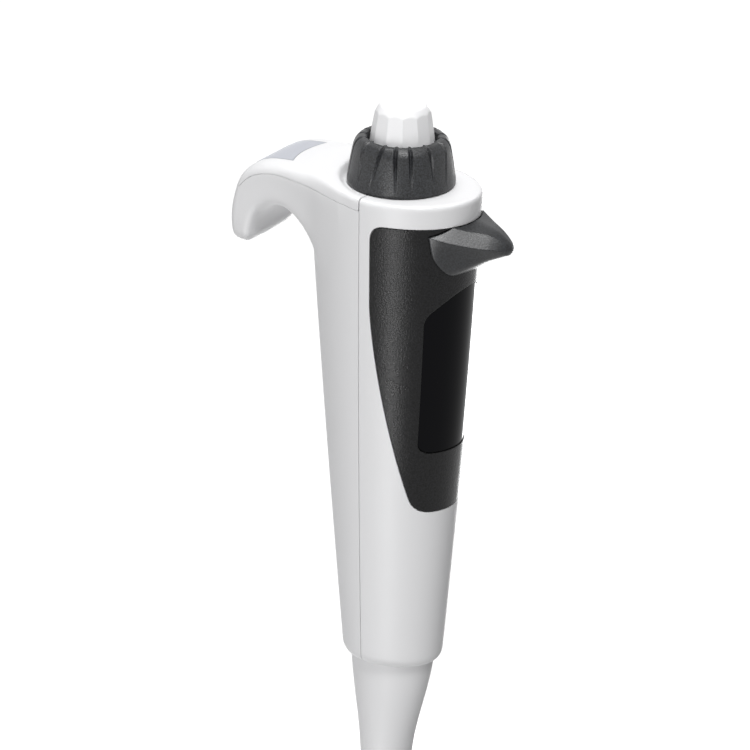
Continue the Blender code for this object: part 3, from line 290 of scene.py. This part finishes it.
def hook_part(x, y, z, samples):
    """Distance to a sweep of rounded sections: each point is measured in the section it lies in."""
    p = np.stack([y, z], 1)
    offset = p @ samples["along"].T - np.sum(samples["mid"] * samples["along"], 1)
    u = p @ samples["out"].T - np.sum(samples["mid"] * samples["out"], 1)
    score = np.abs(u) / samples["half"]
    crossing = (offset[:, :-1] > 0) & (offset[:, 1:] <= 0)
    ranked = np.where(crossing, score[:, :-1], 1e6)
    i = np.argmin(ranked, 1)
    rows = np.arange(len(x))
    found = ranked[rows, i] < 1e5
    ahead = offset[:, -1] > 0
    last = samples["half"].size - 1
    nearest_end = np.where(ahead, last - 1, 0)
    i = np.where(found, i, nearest_end)
    a, b = offset[rows, i], offset[rows, i + 1]
    t = np.clip(a / np.where(np.abs(a - b) < TINY, TINY, a - b), 0, 1)
    t = np.where(found, t, np.where(ahead, 1.0, 0.0))

    def mix(key):
        low, high = samples[key][i], samples[key][i + 1]
        return low + (high - low) * (t[:, None] if low.ndim == 2 else t)

    half = mix("half")
    direction = mix("out")
    direction = direction / np.linalg.norm(direction, axis=1)[:, None]
    u = np.sum((p - mix("mid")) * direction, 1)
    e = u / half
    widths = mix("width")
    width = widths[:, 1] + (widths[:, 0] - widths[:, 1]) * (np.clip(e, -1, 1) + 1) / 2
    across = np.abs(x) / width
    n = np.where(e > 0, HOOK_ROUNDNESS, HOOK_INNER_ROUNDNESS)
    rho = (np.abs(e) ** n + across ** n) ** (1 / n) + TINY
    steep = np.sqrt((np.abs(e) ** (n - 1) / half) ** 2 + (across ** (n - 1) / width) ** 2)
    slope = rho ** (1 - n) * steep
    field = (rho - 1) / np.maximum(slope, 1 / 25)
    end = offset[:, -1] - HOOK_CROWN * (1 - across ** 2)
    inner = np.where(found, np.minimum(end, 0), np.where(ahead, end, -offset[:, 0]))
    return smooth_max(field, inner, HOOK_END)


SAMPLES = hook_samples()
ROOF = np.array(ROOF_LINE, float)


def roof_height(y):
    """The roof's line, smoothed over a few millimetres."""
    fine = np.linspace(-40, 60, 400)
    rough = np.interp(fine, ROOF[:, 0], ROOF[:, 1])
    kernel = np.hanning(27)
    smooth = np.convolve(np.pad(rough, 13, mode="edge"), kernel / kernel.sum(), "valid")
    return np.interp(y, fine, smooth)


def roof_field(x, y, z):
    """Height over the roof, which stays level inside the circle that the knob turns in."""
    near, far = KNOB_RECESS
    t = np.clip((np.sqrt(x * x + y * y) - near) / (far - near), 0, 1)
    return z - roof_height(y) * t * t * (3 - 2 * t)


def body_field(x, y, z):
    """Signed distance, near enough, to the outside of handle and hook together."""
    field = handle_field(x, y, z)
    near = (y > 0) & (z > HOOK_LOW)
    if near.any():
        hook = hook_field(x[near], y[near], z[near], SAMPLES)
        field[near] = smooth_min(field[near], hook, HOOK_JOIN)
    field = smooth_max(field, roof_field(x, y, z), ROOF_EDGE)
    return smooth_max(field, -HANDLE_LENGTH - z, LOW_EDGE)


def body_gradient(p, step=0.02):
    parts = []
    for axis in range(3):
        delta = np.zeros(3)
        delta[axis] = step
        high, low = (p + delta).T, (p - delta).T
        parts.append((body_field(*high) - body_field(*low)) / (2 * step))
    return np.stack(parts, 1)


def body_object(name, voxel=0.7, band=5.0, rounds=5, longest_step=0.4):
    """Meshes the outside and moves each vertex on to the exact surface."""
    low = np.array([-22.0, -27.0, -146.0])
    high = np.array([22.0, 51.0, 7.0])
    axes = [np.arange(low[k], high[k], voxel) for k in range(3)]
    x, y, z = np.meshgrid(*axes, indexing="ij")
    field = body_field(x.ravel(), y.ravel(), z.ravel()).reshape(x.shape)
    grid = openvdb.FloatGrid(background=band)
    grid.copyFromArray(np.clip(field, -band, band).astype(np.float32))
    points, quads = grid.convertToQuads(isovalue=0.0)
    points = points * voxel + low
    for _ in range(rounds):
        slope = body_gradient(points)
        size = np.maximum(np.sum(slope * slope, 1), 0.05)
        step = slope * (body_field(*points.T) / size)[:, None]
        reach = np.linalg.norm(step, axis=1)
        points = points - step * np.minimum(1, longest_step / np.maximum(reach, TINY))[:, None]
    return mesh_object(name, points, quads)


def oval_ring(half, front, back, z, count):
    ring = []
    for k in range(count):
        angle = 2 * math.pi * k / count
        reach = back if math.sin(angle) > 0 else front
        ring.append((half * math.cos(angle), reach * math.sin(angle), z))
    return ring


def side_loft(name, top, low, inset=0.0, levels=60, count=180):
    """The handle's sides alone, moved inward by a depth that may change with height."""
    rings = []
    for k in range(levels + 1):
        z = top + (low - top) * k / levels
        depth = inset(z) if callable(inset) else inset
        rings.append(oval_ring(*[float(v) for v in handle_oval(z, depth)], z, count))
    return loft(name, rings)


def wall_at(z):
    t = min(max(-z / HANDLE_LENGTH, 0.0), 1.0)
    return WALL_TOP + (WALL_LOW - WALL_TOP) * t


def slab(name, x0, x1, y0, y1, z0, z1):
    return prism(name, [(x0, y0), (x1, y0), (x1, y1), (x0, y1)], "Z", z1, z0)


def circle(steps, radius=1.0):
    return [(radius * math.cos(2 * math.pi * k / steps), radius * math.sin(2 * math.pi * k / steps))
            for k in range(steps)]


def corner_points(before, corner, after, radius, steps=10):
    """A rounded corner between two straight lines."""
    before, corner, after = Vector(before), Vector(corner), Vector(after)
    start = corner + (before - corner).normalized() * radius
    end = corner + (after - corner).normalized() * radius
    return [tuple(start * (1 - t) ** 2 + corner * 2 * t * (1 - t) + end * t ** 2)
            for t in [k / steps for k in range(steps + 1)]]


def panel_side_y(z):
    """The panel's side, which sweeps forward towards its lower end."""
    s = max(0.0, (PANEL_SWEEP_START - z) / (PANEL_SWEEP_START - PANEL_LOW))
    return PANEL_SIDE_Y - PANEL_SWEEP * s ** PANEL_SWEEP_POWER


def panel_tool(grow):
    top, low, ahead, steps = PANEL_TOP + grow, PANEL_LOW - grow, -50.0, 40
    first, last = PANEL_TOP - PANEL_CORNER, PANEL_LOW + PANEL_CORNER
    outline = [(ahead, top)]
    side = panel_side_y(first) + grow
    outline += corner_points((ahead, top), (side, top), (side, first), PANEL_CORNER)
    heights = [first + (last - first) * k / steps for k in range(1, steps)]
    outline += [(panel_side_y(z) + grow, z) for z in heights]
    corner = (panel_side_y(PANEL_LOW) + grow, low)
    beside = (corner[0] - PANEL_CORNER, low)
    outline += corner_points((panel_side_y(last) + grow, last), corner, beside, PANEL_CORNER)
    outline.append((ahead, low))
    return prism("panel_tool", outline, "X", -40, 40)


def window_tool(grow):
    half, low_half = WINDOW_HALF_WIDTH + grow, WINDOW_LOW_HALF_WIDTH + grow
    top, low = WINDOW_TOP + grow, WINDOW_LOW - grow
    arch = []
    for k in range(25):
        x = WINDOW_ARCH_END * (1 - k / 12)
        arch.append((x, top - WINDOW_ARCH * (abs(x) / half) ** WINDOW_ARCH_POWER))
    springing = (-half, top - WINDOW_ARCH)
    below = (-half, top - 2 * WINDOW_ARCH)
    shoulder = corner_points(arch[-1], springing, below, half - WINDOW_ARCH_END)
    foot = corner_points(springing, (-low_half, low), (0, low), WINDOW_CORNER)
    side = shoulder[1:] + foot
    outline = arch + side + [(-x, z) for x, z in reversed(side)]
    return prism("window_tool", outline, "Y", -60, -4)


def cover_tool(drop, start_y):
    """All that lies above the cover's lower edge and behind start_y."""
    table = np.array(COVER_LINE)
    s = np.linspace(0, len(table) - 1, 60)
    steps = np.arange(len(table))
    line = list(zip(catmull(steps, table[:, 0], s), catmull(steps, table[:, 1], s) - drop))
    line = [(float(y), float(z)) for y, z in line if y > start_y]
    line = [(start_y, line[0][1])] + line
    outline = line + [(60, line[-1][1]), (60, 20), (start_y, 20)]
    return prism("cover_tool", outline, "X", -60, 60)


def inlay_tool(grow):
    """The inlay's outline seen from above, with a front edge that is a little bowed."""
    half, front = INLAY["half"] + grow, INLAY["front"] - grow
    outline = [(half * (1 - k / 12), front + INLAY["arc"] * (1 - (1 - k / 12) ** 2)) for k in range(25)]
    outline += [(-half, 60), (half, 60)]
    return prism("inlay_tool", outline, "Z", 20, INLAY["low"] - grow)


def inset_copy(obj, depth, name):
    """The same closed form with every vertex moved inward."""
    made = copy_of(obj, name)
    places = np.empty(len(made.data.vertices) * 3, np.float32)
    normals = np.empty_like(places)
    made.data.vertices.foreach_get("co", places)
    made.data.vertices.foreach_get("normal", normals)
    made.data.vertices.foreach_set("co", places - normals * depth * MM)
    made.data.update()
    return made


def finish_piece(obj, body, node, looks, smooth_angle=30):
    obj.data.shade_smooth()
    obj.data.set_sharp_from_angle(angle=math.radians(smooth_angle))
    obj.data.materials.clear()
    obj.data.materials.append(looks)
    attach(obj, body)
    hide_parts(node)
    return obj


# Materials

# The colour sockets of the Mix node, which share their names with its other sockets
MIX_A, MIX_B, MIX_RESULT = 6, 7, 2


def shader_of(name, colour, roughness, metallic=0.0):
    made = bpy.data.materials.new(name)
    made.use_nodes = True
    shader = made.node_tree.nodes["Principled BSDF"]
    shader.inputs["Base Color"].default_value = (*colour, 1.0)
    shader.inputs["Roughness"].default_value = roughness
    shader.inputs["Metallic"].default_value = metallic
    return made, made.node_tree.nodes, made.node_tree.links, shader


def moulded(name, colour, roughness, grain, strength, spread=0.06, edge=0.0, tint=0.0,
            distance=0.00004, gloss_level=0.5):
    """Moulded plastic: a fine grain in the bump and, if asked, in the colour, uneven gloss, soft edges."""
    made, nodes, links, shader = shader_of(name, colour, roughness)
    shader.inputs["Specular IOR Level"].default_value = gloss_level
    place = nodes.new("ShaderNodeTexCoord")
    noise = nodes.new("ShaderNodeTexNoise")
    noise.inputs["Scale"].default_value = grain
    noise.inputs["Detail"].default_value = 2.0
    links.new(place.outputs["Object"], noise.inputs["Vector"])
    fine = nodes.new("ShaderNodeMapRange")
    fine.inputs["From Min"].default_value = 0.36
    fine.inputs["From Max"].default_value = 0.64
    links.new(noise.outputs["Fac"], fine.inputs["Value"])
    bump = nodes.new("ShaderNodeBump")
    bump.inputs["Strength"].default_value = strength
    bump.inputs["Distance"].default_value = distance
    links.new(fine.outputs["Result"], bump.inputs["Height"])
    if edge:
        soft = nodes.new("ShaderNodeBevel")
        soft.samples = 6
        soft.inputs["Radius"].default_value = edge
        links.new(soft.outputs["Normal"], bump.inputs["Normal"])
    links.new(bump.outputs["Normal"], shader.inputs["Normal"])
    broad = nodes.new("ShaderNodeTexNoise")
    broad.inputs["Scale"].default_value = 90.0
    broad.inputs["Detail"].default_value = 4.0
    links.new(place.outputs["Object"], broad.inputs["Vector"])
    gloss = nodes.new("ShaderNodeMapRange")
    gloss.inputs["To Min"].default_value = roughness - spread
    gloss.inputs["To Max"].default_value = roughness + spread
    links.new(broad.outputs["Fac"], gloss.inputs["Value"])
    links.new(gloss.outputs["Result"], shader.inputs["Roughness"])
    if tint:
        ramp = nodes.new("ShaderNodeMix")
        ramp.data_type = "RGBA"
        ramp.inputs[MIX_A].default_value = (*[c * (1 - tint) for c in colour], 1.0)
        ramp.inputs[MIX_B].default_value = (*[min(1.0, c * (1 + tint)) for c in colour], 1.0)
        links.new(fine.outputs["Result"], ramp.inputs["Factor"])
        links.new(ramp.outputs[MIX_RESULT], shader.inputs["Base Color"])
    return made


def turned_metal(name, colour, roughness):
    """Metal with fine rings from turning."""
    made, nodes, links, shader = shader_of(name, colour, roughness, 1.0)
    place = nodes.new("ShaderNodeTexCoord")
    scale = nodes.new("ShaderNodeMapping")
    scale.inputs["Scale"].default_value = (60.0, 60.0, 9000.0)
    links.new(place.outputs["Object"], scale.inputs["Vector"])
    lines = nodes.new("ShaderNodeTexNoise")
    lines.inputs["Scale"].default_value = 1.0
    links.new(scale.outputs["Vector"], lines.inputs["Vector"])
    bump = nodes.new("ShaderNodeBump")
    bump.inputs["Strength"].default_value = 0.25
    bump.inputs["Distance"].default_value = 0.00002
    links.new(lines.outputs["Fac"], bump.inputs["Height"])
    links.new(bump.outputs["Normal"], shader.inputs["Normal"])
    return made


def make_looks():
    return {
        "white": moulded("shell_white", (0.80, 0.80, 0.81), 0.46, 1600, 0.10,
                         edge=0.00035, distance=0.00002),
        "button_white": moulded("button_white", (0.88, 0.88, 0.89), 0.40, 1600, 0.08,
                                edge=0.0003, distance=0.00002),
        "inlay_grey": moulded("inlay_grey", (0.45, 0.465, 0.515), 0.36, 1400, 0.06, edge=0.0003),
        "panel_black": moulded("panel_black", (0.0045, 0.0045, 0.005), 0.29, 2300, 0.6,
                               edge=0.0003, tint=0.95, distance=0.00005, gloss_level=0.21),
        "window_black": moulded("window_black", (0.002, 0.002, 0.003), 0.08, 500, 0.01,
                                spread=0.02, edge=0.0003, gloss_level=0.06),
        "knob_grey": moulded("knob_grey", (0.014, 0.015, 0.017), 0.36, 2300, 0.6,
                             edge=0.0003, tint=0.95, distance=0.00005, gloss_level=0.46),
        "beak_grey": moulded("beak_grey", (0.012, 0.013, 0.015), 0.32, 1900, 0.2,
                             edge=0.0004, tint=0.6, distance=0.00003, gloss_level=0.38),
        "steel": turned_metal("steel", (0.60, 0.60, 0.62), 0.28),
        "board_green": moulded("board_green", (0.02, 0.16, 0.07), 0.42, 1800, 0.3, tint=0.3),
        "inner_grey": moulded("inner_grey", (0.30, 0.31, 0.33), 0.50, 1500, 0.4),
        "battery_blue": moulded("battery_blue", (0.05, 0.12, 0.35), 0.35, 700, 0.15),
        "seal_black": moulded("seal_black", (0.02, 0.02, 0.02), 0.70, 1800, 0.4),
        "nozzle_white": moulded("nozzle_white", (0.74, 0.74, 0.73), 0.36, 1000, 0.08, edge=0.0003),
    }


def paint_nodes(frame, looks):
    slots = {row["node"]: row["material_slot"] for row in frame["record"]["subparts"]}
    for name, obj in frame["nodes"].items():
        obj.data.materials.clear()
        obj.data.materials.append(looks[slots[name]])


# Pieces

def skin_tool(depth):
    """All that lies deeper than a depth under the handle's side."""
    return side_loft("skin", 3, -150, depth)


def make_shells(looks):
    outside = body_object("outside")
    cavity_low = -HANDLE_LENGTH - 3
    cavity = side_loft("cavity", 3.0, cavity_low, wall_at, 40, 120)
    front_cavity = side_loft("front_cavity", -DECK_THICKNESS, cavity_low, wall_at, 40, 120)
    hole = prism("hole", circle(96, DECK_HOLE_RADIUS), "Z", 6, -8)

    front = copy_of(outside, "front_shell_fine")
    cut(front, slab("half", -80, 80, SEAM_Y - SEAM / 2, 80, -230, 80))
    cut(front, front_cavity)
    cut(front, hole, keep=True)
    recess = panel_tool(0.0)
    cut(recess, skin_tool(PANEL_THICKNESS + GAP))
    cut(front, recess)
    cut(front, slab("aperture", *DISPLAY_APERTURE))
    cut(front, slab("slot", *KEY_SLOT))
    cut(front, slab("bar_room", *BAR_ROOM))
    finish_piece(front, "handle", "front_shell", looks["white"])

    rear = copy_of(outside, "rear_shell_fine")
    cut(rear, slab("half", -80, 80, -80, SEAM_Y + SEAM / 2, -230, 80))
    cut(rear, cavity)
    cut(rear, slab("bar_room", *BAR_ROOM))
    cut(rear, cover_tool(COVER_GAP, 0.0))
    finish_piece(rear, "handle", "rear_shell", looks["white"])

    inner = inset_copy(outside, INLAY["depth"] + GAP, "inner")
    seat = inlay_tool(EDGE_GAP)
    cut(seat, inner)
    cover = copy_of(outside, "top_cover_fine")
    cut(cover, cover_tool(0.0, SEAM_Y + NOTCH), "INTERSECT")
    cut(cover, hole)
    cut(cover, seat)
    finish_piece(cover, "handle", "top_cover", looks["white"])

    inner = inset_copy(outside, INLAY["depth"], "inner")
    inlay = copy_of(outside, "hook_inlay_fine")
    cut(inlay, inlay_tool(0.0), "INTERSECT")
    cut(inlay, inner)
    finish_piece(inlay, "handle", "hook_inlay", looks["inlay_grey"])
    bpy.data.objects.remove(outside, do_unlink=True)


def make_panel(looks):
    panel = side_loft("front_panel_fine", 2, -120, 0.0, 110, 220)
    cut(panel, panel_tool(-EDGE_GAP), "INTERSECT")
    cut(panel, skin_tool(PANEL_THICKNESS))
    cut(panel, window_tool(EDGE_GAP))
    cut(panel, slab("slot", *KEY_SLOT))
    finish_piece(panel, "handle", "front_panel", looks["panel_black"])
    window = side_loft("display_window_fine", 2, -120, WINDOW_SINK, 110, 220)
    cut(window, window_tool(0.0), "INTERSECT")
    cut(window, skin_tool(PANEL_THICKNESS))
    finish_piece(window, "handle", "display_window", looks["window_black"])


def knob_ring(share, height):
    """One level of the knob's outside: V grooves that lean, widen and deepen towards the top."""
    rise = max(0.0, (height - GROOVE_START) / (1.0 - GROOVE_START))
    half = GROOVE_LOW_ANGLE + (GROOVE_TOP_ANGLE - GROOVE_LOW_ANGLE) * rise
    radius = KNOB_RADIUS * share
    places = [low + (top - low) * rise for top, low in KNOB_GROOVES]
    nexts = places[1:] + [places[0] + 90]
    spots = []
    for here, after in zip(places, nexts):
        spots += [(here + half * u, GROOVE_DEPTH * min(1.0, rise) * max(0.0, 1 - abs(u)))
                  for u in GROOVE_SHARES]
        wide = (after - here) / 2 - half
        for k in range(1, 8):
            offset = wide * (k / 4 - 1)
            flat = radius - radius * math.cos(math.radians(wide)) / math.cos(math.radians(offset))
            spots.append(((here + after) / 2 + offset, LAND_FLATNESS * rise * max(0.0, flat)))
    ring = []
    for quarter in range(4):
        for degrees, depth in spots:
            angle = math.radians(degrees + 90 * quarter)
            reach = radius - depth
            ring.append((reach * math.cos(angle), reach * math.sin(angle), height * KNOB_HEIGHT))
    return ring


def make_knob(looks):
    table = np.array(KNOB_PROFILE)
    steps = np.arange(len(table))
    at = np.linspace(0, len(table) - 1, 37)
    shares, heights = catmull(steps, table[:, 0], at), catmull(steps, table[:, 1], at)
    rings = [knob_ring(float(share), float(height)) for share, height in zip(shares, heights)]
    angles = [math.atan2(y, x) for x, y, _ in rings[-1]]
    for radius, z in KNOB_INSIDE:
        rings.append([(radius * math.cos(a), radius * math.sin(a), z) for a in angles])
    knob = loft("setting_knob_fine", rings, closed=True)
    finish_piece(knob, "knob", "setting_knob", looks["knob_grey"], 34)


def button_ring(z, count=288):
    """A level of the button: flat facets that run out in arches where the round shoulder starts."""
    corner = float(np.interp(z, *np.array(BUTTON_SIDE).T))
    faceted = min(1.0, max(0.0, (z - BUTTON_FACET_START) / BUTTON_FACET_RUN))
    shoulder = FAR
    if z > BUTTON_SHOULDER[0][0]:
        shoulder = float(np.interp(z, *np.array(BUTTON_SHOULDER).T))
    step = 2 * math.pi / BUTTON_FACETS
    ring = []
    for k in range(count):
        angle = 2 * math.pi * k / count
        offset = (angle % step) - step / 2
        flat = corner * math.cos(step / 2) / math.cos(offset)
        side = corner + (flat - corner) * faceted
        radius = float(smooth_min(np.array(side), np.array(shoulder), BUTTON_ARCH_EDGE))
        ring.append((radius * math.cos(angle), radius * math.sin(angle), z))
    return ring


def make_button(looks):
    heights = [5.0, 8.0, 11.5, 12.5, 13.5, 14.5, 16.0, 17.5, 18.5]
    heights += [18.5 + 3.3 * k / 14 for k in range(1, 15)] + [22.0, 22.2, 22.35, 22.45, BUTTON_TOP]
    rings = [button_ring(z) for z in reversed(heights)]
    dish = [[(x * s, y * s, BUTTON_TOP - drop) for x, y, _ in rings[0]] for s, drop in BUTTON_DISH]
    skirt = BUTTON_SIDE[0][1]
    hollow = [[(x * r / skirt, y * r / skirt, z) for x, y, _ in rings[-1]] for r, z in BUTTON_HOLLOW]
    button = loft("thumb_button_fine", dish + rings + hollow)
    finish_piece(button, "button", "thumb_button", looks["button_white"], 22)


def key_ring(reach):
    """A section of the beak: two crisp facets above, a hollow flank and a rounded keel below."""
    table = np.array(KEY_STATIONS)
    steps = np.arange(len(table))
    near = reach + np.array([-3, -2, -1, 0, 1, 2, 3]) * min(1.1, (table[-1, 0] - reach) / 3)
    s = np.interp(near, table[:, 0], steps)
    weights = np.array([1, 6, 15, 20, 15, 6, 1]) / 64
    values = [float(catmull(steps, table[:, k], s) @ weights) for k in range(1, 11)]
    top, rx, rz, cx, cz, fx, fz, lx, lz, keel = values
    upper = [(rx * t, top + (rz - top) * t) for t in (0.0, 0.33, 0.66, 1.0)]
    facet = [(rx + (cx - rx) * t, rz + (cz - rz) * t) for t in (0.2, 0.4, 0.6, 0.8, 1.0)]
    flank = np.array([(cx, cz), (fx, fz), (lx, lz), (lx * 0.5, (lz + 2 * keel) / 3), (0, keel)])
    at = np.linspace(0, 4, 25)[1:]
    across, height = [catmull(np.arange(5), flank[:, k], at) for k in (0, 1)]
    half = upper + facet + [(float(x), float(z)) for x, z in zip(across, height)]
    half[-1] = (0.0, keel)
    blunt = max(0.0, (reach - KEY_BLUNT_START) / KEY_BLUNT)
    size = math.sqrt(max(0.0, 1 - blunt * blunt * 0.97))
    middle = (top + keel) / 2
    outline = half + [(-x, z) for x, z in reversed(half[1:-1])]
    return [(x * size, -reach, middle + (z - middle) * size) for x, z in outline]


def make_key(looks):
    reaches = [KEY_ROOT + (KEY_BLUNT_START - KEY_ROOT) * k / 45 for k in range(46)]
    reaches += [KEY_BLUNT_START + KEY_BLUNT * math.sin(math.radians(9 * k)) for k in range(1, 11)]
    key = loft("ejector_key_fine", [key_ring(r) for r in reaches])
    cut(key, side_loft("skin", 3, -60, -KEY_CLEARANCE, 40, 160))
    cut(key, slab("pocket", -TAB["half"] - GAP, TAB["half"] + GAP, -TAB["reach"] - GAP, -TAB["inner"],
                  TAB["low"] - GAP, TAB["top"] + GAP))
    finish_piece(key, "ejector", "ejector_key", looks["beak_grey"], 24)


def sleeve_oval(z, inset=0.0):
    """The sleeve leaves the handle as the handle's own oval and becomes round."""
    neck = [float(size) - WALL_LOW - SLEEVE_CLEARANCE for size in handle_oval(-HANDLE_LENGTH)]
    if z >= -HANDLE_LENGTH:
        return [size - inset for size in neck]
    if z >= SLEEVE_WAIST:
        t = (-HANDLE_LENGTH - z) / (-HANDLE_LENGTH - SLEEVE_WAIST)
        s = SLEEVE_BLEND[0] * t + SLEEVE_BLEND[1] * t * t * (3 - 2 * t)
        return [size + (SLEEVE_WAIST_RADIUS - size) * s - inset for size in neck]
    t = (SLEEVE_WAIST - z) / (SLEEVE_WAIST - SLEEVE_LOW)
    s = 1 - (1 - t) ** SLEEVE_TAPER_POWER
    radius = SLEEVE_WAIST_RADIUS + (SLEEVE_LOW_RADIUS - SLEEVE_WAIST_RADIUS) * s
    return [radius - inset] * 3


def make_sleeve(looks, levels=70, count=128):
    heights = [SLEEVE_TOP, -HANDLE_LENGTH - 0.2]
    heights += [-HANDLE_LENGTH + (SLEEVE_LOW + HANDLE_LENGTH) * k / levels for k in range(1, levels)]
    outer = [oval_ring(*sleeve_oval(z), z, count) for z in heights]
    outer += [oval_ring(*sleeve_oval(SLEEVE_LOW, inset), SLEEVE_LOW + rise, count)
              for inset, rise in SLEEVE_LIP]
    inner = [oval_ring(*sleeve_oval(z, SLEEVE_WALL), z, count) for z in [SLEEVE_LOW] + heights[::-1]]
    sleeve = loft("ejector_sleeve_fine", outer + inner, closed=True)
    finish_piece(sleeve, "ejector", "ejector_sleeve", looks["white"], 40)
    rings = [[(x, y, z) for x, y in circle(72, radius)] for radius, z in CONE]
    cone = loft("tip_cone_fine", rings, closed=True)
    finish_piece(cone, "handle", "tip_cone", looks["nozzle_white"], 40)


def make_springs(looks):
    """Both springs, wound between the same heights as the solids; each moves whole with its body."""
    steps, sides = 24, 10
    section = circle(sides)
    for node, body, joint, travel, radius, wire, turns in SPRINGS:
        low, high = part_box(node)
        middle = [(low[k] + high[k]) / 2 for k in range(2)]
        top, foot = high[2] / MM + BUTTON_TOP - wire, low[2] / MM + BUTTON_TOP + wire
        rings = []
        for k in range(turns * steps + 1):
            angle = 2 * math.pi * k / steps
            z = top + (foot - top) * k / (turns * steps)
            rings.append([(middle[0] / MM + (radius + wire * c) * math.cos(angle),
                           middle[1] / MM + (radius + wire * c) * math.sin(angle), z + wire * s)
                          for c, s in section])
        coil = loft(node + "_fine", rings)
        finish_piece(coil, body, node, looks["steel"], 50)
        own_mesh(coil)


# Stage, light and camera

# name, place, aim, width in m, power in W, and height where it isn't square
LAMPS = [
    ("overhead", (-0.35, -0.36, 0.82), (0, 0, -0.04), 0.32, 6.6, None),
    ("top", (0.05, 0.12, 0.85), (0, 0, -0.04), 0.5, 4.3, None),
    ("left_strip", (-0.72, -0.06, -0.32), (0, 0, -0.09), 0.03, 2.7, 0.5),
    ("back_fill", (-0.60, 0.60, 0.05), (0, 0, -0.09), 0.6, 0.4, None),
    ("far_fill", (0.85, 0.34, -0.34), (0, 0, -0.09), 0.5, 3.4, None),
]
SOFT_LIGHT = 0.14              # of the world itself, which is seen as 1.0


def seen_ray(tree):
    """1 for what is seen directly, in a gloss or through something clear, and 0 for other light."""
    path = tree.nodes.new("ShaderNodeLightPath")
    found = path.outputs["Is Camera Ray"]
    for kind in ("Is Glossy Ray", "Is Transmission Ray"):
        either = tree.nodes.new("ShaderNodeMath")
        either.operation = "MAXIMUM"
        tree.links.new(found, either.inputs[0])
        tree.links.new(path.outputs[kind], either.inputs[1])
        found = either.outputs[0]
    return found


def make_stage():
    mesh = bpy.data.meshes.new("floor")
    half, level = 5.0, -0.62
    square = [(-half, -half), (half, -half), (half, half), (-half, half)]
    mesh.from_pydata([(x, y, level) for x, y in square], [], [(0, 1, 2, 3)])
    floor = bpy.data.objects.new("floor", mesh)
    bpy.context.scene.collection.objects.link(floor)
    made, _, links, shader = shader_of("floor_white", (0.38, 0.38, 0.38), 0.9)
    shader.inputs["Specular IOR Level"].default_value = 0.0
    shader.inputs["Emission Color"].default_value = (1.0, 1.0, 1.0, 1.0)
    links.new(seen_ray(made.node_tree), shader.inputs["Emission Strength"])
    mesh.materials.append(made)


def area(name, place, aim, size, power, size_y):
    data = bpy.data.lights.new(name, "AREA")
    data.energy = power
    data.size = size
    if size_y:
        data.shape = "RECTANGLE"
        data.size_y = size_y
    obj = bpy.data.objects.new(name, data)
    bpy.context.scene.collection.objects.link(obj)
    obj.location = place
    obj.rotation_euler = (Vector(aim) - Vector(place)).to_track_quat("-Z", "Y").to_euler()


def make_light():
    sky = bpy.data.worlds.new("studio")
    bpy.context.scene.world = sky
    sky.use_nodes = True
    back = sky.node_tree.nodes["Background"]
    back.inputs["Color"].default_value = (1.0, 1.0, 1.0, 1.0)
    strength = sky.node_tree.nodes.new("ShaderNodeMapRange")
    strength.inputs["To Min"].default_value = SOFT_LIGHT
    strength.inputs["To Max"].default_value = 1.0
    sky.node_tree.links.new(seen_ray(sky.node_tree), strength.inputs["Value"])
    sky.node_tree.links.new(strength.outputs["Result"], back.inputs["Strength"])
    for lamp in LAMPS:
        area(*lamp)


def make_camera():
    """The photograph's view: 60 degrees to the side of the display and 20 degrees above level."""
    turn, lift, roll = math.radians(60), math.radians(20), math.radians(-1.5)
    distance, pixels, focal, sensor = 1.1, 750.0, 4015.0, 36.0
    deck_x, deck_y = 401.2, 181.5              # where the photograph shows the deck's middle
    deck = Vector((0, 0, -BUTTON_TOP * MM))
    back = Vector((-math.sin(turn) * math.cos(lift), -math.cos(turn) * math.cos(lift), math.sin(lift)))
    right = Vector((math.cos(turn), -math.sin(turn), 0))
    up = back.cross(right)
    right, up = right * math.cos(roll) - up * math.sin(roll), up * math.cos(roll) + right * math.sin(roll)
    straight = Matrix((right, up, back)).transposed()
    seen = Vector((deck_x - pixels / 2, pixels / 2 - deck_y, -focal)).normalized()
    aim = seen.rotation_difference(Vector((0, 0, -1))).to_matrix()
    data = bpy.data.cameras.new("camera")
    data.sensor_width = sensor
    data.lens = focal / pixels * sensor
    data.clip_start, data.clip_end = 0.01, 20.0
    camera = bpy.data.objects.new("camera", data)
    bpy.context.scene.collection.objects.link(camera)
    camera.matrix_world = Matrix.Translation(deck + back * distance) @ (straight @ aim).to_4x4()
    bpy.context.scene.camera = camera


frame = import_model()
looks = make_looks()
paint_nodes(frame, looks)
make_shells(looks)
make_panel(looks)
make_knob(looks)
make_button(looks)
make_key(looks)
make_sleeve(looks)
make_springs(looks)
make_stage()
make_light()
make_camera()
bpy.context.scene.view_settings.view_transform = "Standard"
